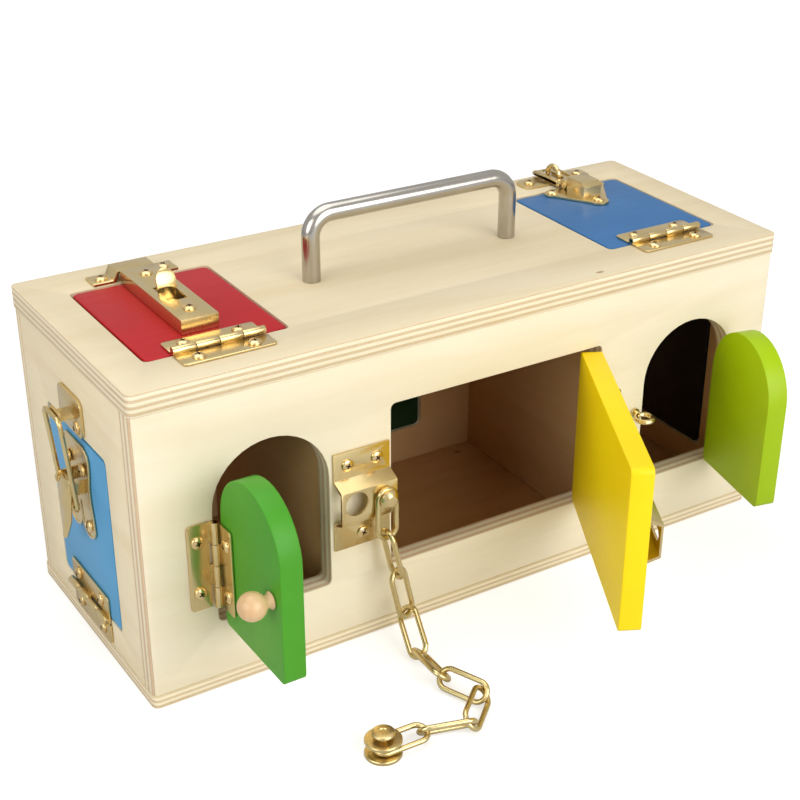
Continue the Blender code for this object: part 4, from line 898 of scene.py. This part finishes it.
def hinge_leaf(side):
    # The frame leaf has the first and third knuckles and the pin, the door leaf the others
    half = HINGE_LENGTH / 2
    plate = slab("leaf_plate", (-half, half), (side * PLATE_START, side * HINGE_REACH),
                 (LEAF_LOW, LEAF_HIGH))
    rounded_corners(plate, lambda place: abs(place.y) > HINGE_REACH - 0.001, LEAF_CORNER)
    parts = [plate]
    for number in range(0 if side == FRAME_SIDE else 1, KNUCKLES, 2):
        start = number * (KNUCKLE_LENGTH + RUN_GAP) - half
        parts.append(slab("tongue", (start, start + KNUCKLE_LENGTH), (0, side * (PLATE_START + 0.001)),
                          (LEAF_LOW + 0.0001, LEAF_HIGH - 0.00005)))
        parts.append(bar("knuckle", BARREL_RADIUS, 28, (start, 0, 0), (0, QUARTER, 0),
                         [(KNUCKLE_LENGTH, 0, 0)]))
    for part in parts:
        softened(part, 0.00016)
    if side == FRAME_SIDE:
        parts.append(bar("pin", PIN_RADIUS, 16, (-half, 0, 0), (0, QUARTER, 0), [(HINGE_LENGTH, 0, 0)]))
    leaf = joined("hinge_leaf", parts)
    smooth(leaf, 40)
    return leaf


def fit_leaf(name, pattern, side):
    # The leaf's place is worked out from its two CAD screws and from where its knuckles lie
    fit_screws(name, False)
    (first, outward), (second, _) = screw_places(name)
    middle = (first + second) / 2
    along = (second - first).normalized()
    away = outward.cross(along)
    reaches = [(vert.co - middle).dot(away) for vert in nodes[name].data.vertices]
    if max(reaches) > -min(reaches):
        away = -away
    across = away * side
    origin = middle - away * SCREW_REACH - outward * (LEAF_HIGH + CAD_HEAD_HEIGHT)
    leaf = twin(pattern, name + "_formed", frame_of(across.cross(outward), across, outward, origin))
    settle(leaf, BRASS, name, [name])


OVERHANG_EDGE, SHEET_EDGE, DOOR_EDGE = 0.0005, 0.0003, 0.0006
THICK_PLATE_EDGE, PRESSED_EDGE, STRAP_EDGE = 0.00035, 0.0005, 0.00025
THICK_PLATES = ("chain_anchor", "chain_track", "slide_channel", "slide_strike")
PRESSED_PIECES = ("hasp_base", "hasp_staple", "toggle_keeper", "black_turn_button", "back_turn_button")


def finish_nodes():
    frame_leaf, door_leaf = hinge_leaf(FRAME_SIDE), hinge_leaf(DOOR_SIDE)
    for name in sorted(nodes):
        if name in ("top_panel", "bottom_panel"):
            finish_edges(name, OVERHANG_EDGE)
        elif "panel" in name or "divider" in name:
            finish_edges(name, SHEET_EDGE)
        elif name.endswith("_door"):
            finish_edges(name, DOOR_EDGE, segments=3)
        elif name.endswith("_frame_leaf"):
            fit_leaf(name, frame_leaf, FRAME_SIDE)
        elif name.endswith("_door_leaf"):
            fit_leaf(name, door_leaf, DOOR_SIDE)
        elif name in THICK_PLATES:
            finish_edges(name, THICK_PLATE_EDGE, fit_screws(name), 3)
        elif name in PRESSED_PIECES:
            finish_edges(name, PRESSED_EDGE, fit_screws(name), 3)
        elif name == "toggle_base":
            fit_screws(name, False)
        elif name == "hasp_strap":
            finish_edges(name, STRAP_EDGE)
        else:
            finish_edges(name, 0)
    drop(screw_pattern, room_pattern, frame_leaf, door_leaf)


finish_nodes()


# Carry handle: brushed round bar with tight bends
HANDLE_RADIUS = 0.00497
HANDLE_HALF = 0.0635
HANDLE_FOOT, HANDLE_BEND_START = 0.1803, 0.2045
HANDLE_BEND = 0.012


def make_handle():
    rise, half_straight = HANDLE_BEND_START - HANDLE_FOOT, HANDLE_HALF - HANDLE_BEND
    handle = bar("carry_bar", HANDLE_RADIUS, 40, (-HANDLE_HALF, 0, HANDLE_FOOT), (0, 0, 0), [
        (0, 0, rise), ((-half_straight, 0, HANDLE_BEND_START), (0, 1, 0), 90, 12),
        (2 * half_straight, 0, 0), ((half_straight, 0, HANDLE_BEND_START), (0, 1, 0), 90, 12),
        (0, 0, -rise)])
    smooth(handle, 50)
    settle(handle, STAINLESS, "carry_handle", ["carry_handle"])


# Ball knob: turned beech with a short neck and a small bead at its foot
KNOB_RADIUS, KNOB_MIDDLE = 0.00738, 0.0101
KNOB_START, KNOB_TURN, KNOB_STEPS = -60, 150, 16
KNOB_GRAIN_TURN = 0.7


def make_knob():
    low_corner, high_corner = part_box("ball_knob")
    foot = Vector((high_corner.x, (low_corner.y + high_corner.y) / 2, (low_corner.z + high_corner.z) / 2))
    profile = [(0, 0), (0.0043, 0), (0.0046, 0.0005), (0.0044, 0.0010), (0.0037, 0.0014),
               (0.0034, 0.0022), (0.0035, 0.0031)]
    for step in range(KNOB_STEPS + 1):
        angle = math.radians(KNOB_START + KNOB_TURN * step / KNOB_STEPS)
        radius = KNOB_RADIUS * math.cos(angle) if step < KNOB_STEPS else 0
        profile.append((radius, KNOB_MIDDLE + KNOB_RADIUS * math.sin(angle)))
    knob = lathe("ball_knob_turning", profile, 48)
    knob.data.transform(frame_of((0, 0, 1), (0, -1, 0), (-1, 0, 0), foot)
                        @ Matrix.Rotation(KNOB_GRAIN_TURN, 4, "Z"))
    smooth(knob, 50)
    settle(knob, BEECH, "ball_knob", ["ball_knob"])


# Chain: one drawn link, copied to the place of each CAD link
LINK_WIRE, LINK_HALF_WIDTH, LINK_HALF_STRAIGHT = 0.00148, 0.0055, 0.009
LINK_COUNT = 9


def make_chain():
    half = LINK_HALF_STRAIGHT
    link = bar("link", LINK_WIRE, 16, (-half, -LINK_HALF_WIDTH, 0), (0, QUARTER, 0), [
        (2 * half, 0, 0), ((half, 0, 0), (0, 0, 1), 180, 18),
        (-2 * half, 0, 0), ((-half, 0, 0), (0, 0, 1), 180, 18)], False)
    smooth(link, 60)
    for number in range(1, LINK_COUNT + 1):
        name = "chain_link_%d" % number
        centre, long, middle, short = principal_frame(name)
        settle(twin(link, "drawn_link_%d" % number, frame_of(long, middle, short, centre)),
               CHAIN_BRASS, name, [name])
    drop(link)


# Chain button: two flanges and a domed head, turned from brass
FLANGE, NECK, HEAD = 0.0096, 0.0024, 0.0060
FLANGE_FOOT = 0.0030


def make_button():
    low_corner, high_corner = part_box("chain_button")
    middle = (low_corner + high_corner) / 2
    profile = [(0, 0), (0.0094, 0), (FLANGE, 0.0003), (FLANGE, 0.0016), (0.0093, 0.0020),
               (FLANGE_FOOT, 0.0021), (NECK, 0.0026), (NECK, 0.0075), (FLANGE_FOOT, 0.0079),
               (0.0092, 0.0080), (FLANGE, 0.0084), (FLANGE, 0.0095), (0.0092, 0.0099),
               (FLANGE_FOOT, 0.0102), (NECK, 0.0107), (NECK, 0.0122), (0.0054, 0.0124),
               (HEAD, 0.0129), (HEAD, 0.0136), (0.0056, 0.0140), (0.0044, 0.01425),
               (NECK, 0.0143), (0.0021, 0.0139), (0, 0.0139)]
    button = lathe("chain_button_turning", profile, 48)
    button.data.transform(Matrix.Translation((middle.x, middle.y, low_corner.z)))
    smooth(button, 32)
    settle(button, CHAIN_BRASS, "chain_button", ["chain_button"])


# Slide bolt: flat bar in the channel, with a polished thumb tongue curling up.
# The bar has a slot for each of the channel's two screw posts over its whole travel.
BOLT_THICKNESS, BOLT_WIDTH = 0.003, 0.0172
NOSE_WIDTH, NOSE_REACH, NOSE_LENGTH = 0.015, 0.0024, 0.0044
TONGUE_FROM_EDGE, TONGUE_WIDTH, TONGUE_THICKNESS = 0.03699, 0.0094, 0.0014
CURL_REACH, CURL_STEPS, CURL_TURN, CURL_LEAN = 0.0050, 7, 84, 0.0004
POST_ROOM, POST_FROM_START, POST_FROM_STOP = 0.0017, 0.0120, 0.0105
BOLT_THROW, BOLT_DRAW = 0.0050, 0.0125


def make_tongue():
    # An edge drawn up in short steps, each a rise, a lean and a widening; its top is rounded
    tongue = drawn_line("tongue", [(-TONGUE_WIDTH / 2, 0, 0), (TONGUE_WIDTH / 2, 0, 0)])
    steps = [(0.0068, 0.0, 1.0), (0.0006, 0.0, 1.14), (0.0012, 0.0001, 1.02), (0.0012, 0.0002, 1.0),
             (0.0012, 0.0003, 1.0), (0.0012, 0.0004, 1.0)]
    for number in range(CURL_STEPS):
        before, after = (math.radians(CURL_TURN * n / CURL_STEPS) for n in (number, number + 1))
        steps.append((CURL_REACH * (math.sin(after) - math.sin(before)), CURL_LEAN,
                      math.cos(after) / math.cos(before)))
    for rise, lean, widening in steps:
        draw_out((0, lean, rise))
        bpy.ops.transform.resize(value=(widening, 1, 1), center_override=(0, 0, 0))
    bpy.ops.object.mode_set(mode="OBJECT")
    apply_step(tongue, "SOLIDIFY", thickness=TONGUE_THICKNESS, offset=0)
    softened(tongue, 0.0003, 2, 50)
    return tongue


def make_bolt():
    low_corner, high_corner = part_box("slide_bolt")
    middle = (low_corner.x + high_corner.x) / 2
    bottom, top = low_corner.z, low_corner.z + BOLT_THICKNESS
    edge = high_corner.y - NOSE_REACH
    rod = slab("bolt_bar", (middle - BOLT_WIDTH / 2, middle + BOLT_WIDTH / 2), (low_corner.y, edge),
               (bottom, top))
    nose = slab("bolt_nose", (middle - NOSE_WIDTH / 2, middle + NOSE_WIDTH / 2),
                (high_corner.y - NOSE_LENGTH, high_corner.y), (bottom + 0.0001, top - 0.0001))
    channel_start, channel_stop = (corner.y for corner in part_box("slide_channel"))
    for post in (channel_start + POST_FROM_START, channel_stop - POST_FROM_STOP):
        slot = slab("post_slot", (middle - POST_ROOM, middle + POST_ROOM),
                    (post - BOLT_THROW - POST_ROOM, post + BOLT_DRAW + POST_ROOM),
                    (bottom - 0.001, top + 0.001))
        rounded_corners(slot, lambda place: True, POST_ROOM - 0.00002)
        for part in (rod, nose):
            cut_out(part, slot)
        drop(slot)
    for part in (rod, nose):
        softened(part, 0.0003)
    tongue = make_tongue()
    tongue.data.transform(Matrix.Translation((middle, edge - TONGUE_FROM_EDGE, bottom + 0.001)))
    bolt = joined("slide_bolt_bar", [rod, nose, tongue])
    smooth(bolt, 40)
    settle(bolt, POLISHED_BRASS, "slide_bolt", ["slide_bolt"])


# Hasp strap: the two folded sides that make it a channel
SIDE_THICKNESS, SIDE_HEIGHT, SIDE_LEVEL = 0.0014, 0.0034, 0.0017
SIDE_START, SIDE_STOP = 0.0085, 0.0012


def make_strap_sides():
    low_corner, high_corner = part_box("hasp_strap")
    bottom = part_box("top_panel")[1].z + SIDE_LEVEL
    sides = []
    for outside, inside in ((low_corner.x, low_corner.x + SIDE_THICKNESS),
                            (high_corner.x - SIDE_THICKNESS, high_corner.x)):
        side = slab("strap_side", (outside, inside),
                    (low_corner.y + SIDE_START, high_corner.y - SIDE_STOP), (bottom, bottom + SIDE_HEIGHT))
        softened(side, 0.0005, 3)
        sides.append(side)
    pair = joined("hasp_strap_sides", sides)
    smooth(pair, 40)
    settle(pair, BRASS, "hasp_strap")


# Toggle latch: a pressed base with a raised rim and two lobes, a broad lever and a wire bail
LATCH_PIVOT_LEVEL, LATCH_PIVOT_REACH, PIVOT_PIN_RADIUS = 0.099, 0.0066, 0.0013
BASE_THICKNESS, BASE_RIM, BASE_SINK, BASE_OFF = 0.0011, 0.0013, 0.0005, 0.0003
BASE_TOP_HALF, SHOULDER_WIDTH, SHOULDER_SHARE = 0.0105, 0.0055, 0.10
WAVE_DEPTH, WAVE_COUNT, WAVE_START = 0.0013, 1.15, 0.16
LOBE_RADIUS, LOBE_X, LOBE_START, LOBE_TURN, NOTCH_SHARE = 0.0088, 0.0090, 5, 185, 1.15
SIDE_STEPS, LOBE_STEPS = 14, 10
EAR_RADIUS, EAR_GAP, EAR_WALL = 0.0040, 0.0076, 0.0012
HUB_RADIUS, HUB_HALF, SECOND_HUB = 0.0026, 0.0070, -0.011
LEVER_TOP, LEVER_TIP, LEVER_ARCH, LEVER_ROWS = 0.0036, -0.0310, 0.0021, 16
WEB_ACROSS, WEB_LENGTH, WEB_DEPTH = (0.0060, 0.0069), (-0.0125, 0.0015), (-0.0008, 0.0030)
# Half widths and levels of the lever's shell, by the share of its length from the top
LEVER_WIDTHS = ((0.0, 0.0062), (0.12, 0.0084), (0.42, 0.0086), (0.66, 0.0068), (0.88, 0.0040),
                (1.0, 0.0022))
LEVER_LEVELS = ((0.0, 0.0020), (0.14, 0.0034), (0.42, 0.0043), (0.70, 0.0040), (1.0, 0.0054))
BAIL_WIRE, BAIL_HALF, BAIL_BEND, BAIL_FOOT_BEND, BAIL_TAIL = 0.00128, 0.0104, 0.0042, 0.0016, 0.0035


def side_frame(height):
    # Across the left end, up the door, and out of the box, at the latch's middle
    door_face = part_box("blue_side_door")[0].x
    return frame_of((0, -1, 0), (0, 0, 1), (-1, 0, 0), (door_face, 0, height))


def base_outline(length):
    # Down one side in a slow wave, round one lobe to the notch, and the same mirrored
    outline = []
    for step in range(SIDE_STEPS + 1):
        share = step / SIDE_STEPS
        shoulder = SHOULDER_WIDTH * min(1, share / SHOULDER_SHARE) ** 0.5
        wave = WAVE_DEPTH * math.cos(math.tau * WAVE_COUNT * (share - WAVE_START))
        outline.append((BASE_TOP_HALF + shoulder + wave, length - share * (length - LOBE_RADIUS), 0))
    for step in range(1, LOBE_STEPS):
        angle = math.radians(LOBE_START - LOBE_TURN * step / LOBE_STEPS)
        outline.append((LOBE_X + LOBE_RADIUS * math.cos(angle), LOBE_RADIUS * (1 + math.sin(angle)), 0))
    outline.append((0, LOBE_RADIUS * NOTCH_SHARE, 0))
    return outline + [(-x, y, z) for x, y, z in reversed(outline[:-1])]


def base_plate():
    low_corner, high_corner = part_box("toggle_base")
    base = drawn_line("toggle_plate", base_outline(high_corner.z - low_corner.z))
    bpy.ops.mesh.edge_face_add()
    draw_out((0, 0, BASE_THICKNESS))
    bpy.ops.mesh.inset(thickness=BASE_RIM, depth=0)
    draw_out((0, 0, -BASE_SINK))
    close_up(base, False)
    softened(base, 0.0004, 3, 30)
    base.data.transform(side_frame(low_corner.z) @ Matrix.Translation((0, 0, BASE_OFF)))
    return base


def make_toggle_base():
    parts = []
    for side in (-1, 1):
        parts.append(bar("ear", EAR_RADIUS, 24, (side * EAR_GAP, 0, LATCH_PIVOT_REACH), (0, QUARTER, 0),
                         [(side * EAR_WALL, 0, 0)]))
        parts.append(slab("ear_foot", (side * (EAR_GAP + 0.0001), side * (EAR_GAP + EAR_WALL - 0.0001)),
                          (-EAR_RADIUS + 0.0001, EAR_RADIUS - 0.0001), (0.0008, LATCH_PIVOT_REACH)))
    for part in parts:
        softened(part, 0.0003)
    pin_half = EAR_GAP + EAR_WALL + 0.0006
    parts.append(bar("pin", PIVOT_PIN_RADIUS, 16, (-pin_half, 0, LATCH_PIVOT_REACH), (0, QUARTER, 0),
                     [(2 * pin_half, 0, 0)]))
    for part in parts:
        part.data.transform(side_frame(LATCH_PIVOT_LEVEL))
    latch = joined("toggle_base_pressed", [base_plate()] + parts)
    smooth(latch, 40)
    settle(latch, BRASS, "toggle_base", ["toggle_base"])


def lever_shell():
    shell = begin("lever_shell", bpy.ops.mesh.primitive_grid_add, x_subdivisions=10,
                  y_subdivisions=LEVER_ROWS, size=2)
    bpy.ops.object.mode_set(mode="OBJECT")
    for vert in shell.data.vertices:
        share, across = (1 - vert.co.y) / 2, vert.co.x
        half = np.interp(share, *zip(*LEVER_WIDTHS))
        level = np.interp(share, *zip(*LEVER_LEVELS)) - LEVER_ARCH * across ** 2 * (1 - 0.6 * share)
        vert.co = (across * half, LEVER_TOP + (LEVER_TIP - LEVER_TOP) * share, level)
    apply_step(shell, "SUBSURF", levels=1, render_levels=1)
    apply_step(shell, "SOLIDIFY", thickness=0.0010, offset=0)
    return shell


def make_toggle_lever():
    # A broad arched shell on two rolled hubs; its pointed end stands off the door
    parts = [lever_shell()]
    for hub_place in (0, SECOND_HUB):
        parts.append(bar("hub", HUB_RADIUS, 24, (-HUB_HALF, hub_place, 0), (0, QUARTER, 0),
                         [(2 * HUB_HALF, 0, 0)]))
    for side in (-1, 1):
        parts.append(slab("web", [side * x for x in WEB_ACROSS], WEB_LENGTH, WEB_DEPTH))
    for part in parts:
        softened(part, 0.00025)
    lever = joined("toggle_lever_shell", parts)
    lever.data.transform(side_frame(LATCH_PIVOT_LEVEL) @ Matrix.Translation((0, 0, LATCH_PIVOT_REACH)))
    smooth(lever, 50)
    settle(lever, BRASS, "toggle_lever", ["toggle_lever"])


def make_bail():
    # One wire bent round the lever and over the keeper's hook, from the CAD bail's foot to its crown
    low_corner, high_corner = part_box("toggle_bail")
    bm = merged("toggle_bail")
    foot = Vector(np.mean([v.co for v in bm.verts if v.co.z < low_corner.z + 0.0024], axis=0))
    crown = Vector(np.mean([v.co for v in bm.verts if v.co.z > high_corner.z - 0.0024], axis=0))
    bm.free()
    length, upward, across = (crown - foot).length, (crown - foot).normalized(), Vector((0, -1, 0))
    leg, shoulder = BAIL_HALF - BAIL_FOOT_BEND, BAIL_HALF - BAIL_BEND
    straight = length - BAIL_FOOT_BEND - BAIL_BEND
    bail = bar("bail", BAIL_WIRE, 16, (BAIL_TAIL, 0, 0), (0, QUARTER, 0), [
        (leg - BAIL_TAIL, 0, 0), ((leg, BAIL_FOOT_BEND, 0), (0, 0, 1), 90, 5),
        (0, straight, 0), ((shoulder, length - BAIL_BEND, 0), (0, 0, 1), 90, 9),
        (-2 * shoulder, 0, 0), ((-shoulder, length - BAIL_BEND, 0), (0, 0, 1), 90, 9),
        (0, -straight, 0), ((-leg, BAIL_FOOT_BEND, 0), (0, 0, 1), 90, 5),
        (leg - BAIL_TAIL, 0, 0)])
    bail.data.transform(frame_of(across, upward, across.cross(upward), foot))
    smooth(bail, 60)
    settle(bail, CHAIN_BRASS, "toggle_bail", ["toggle_bail"])


make_handle()
make_knob()
make_strap_sides()
make_chain()
make_button()
make_bolt()
make_bail()
make_toggle_base()
make_toggle_lever()
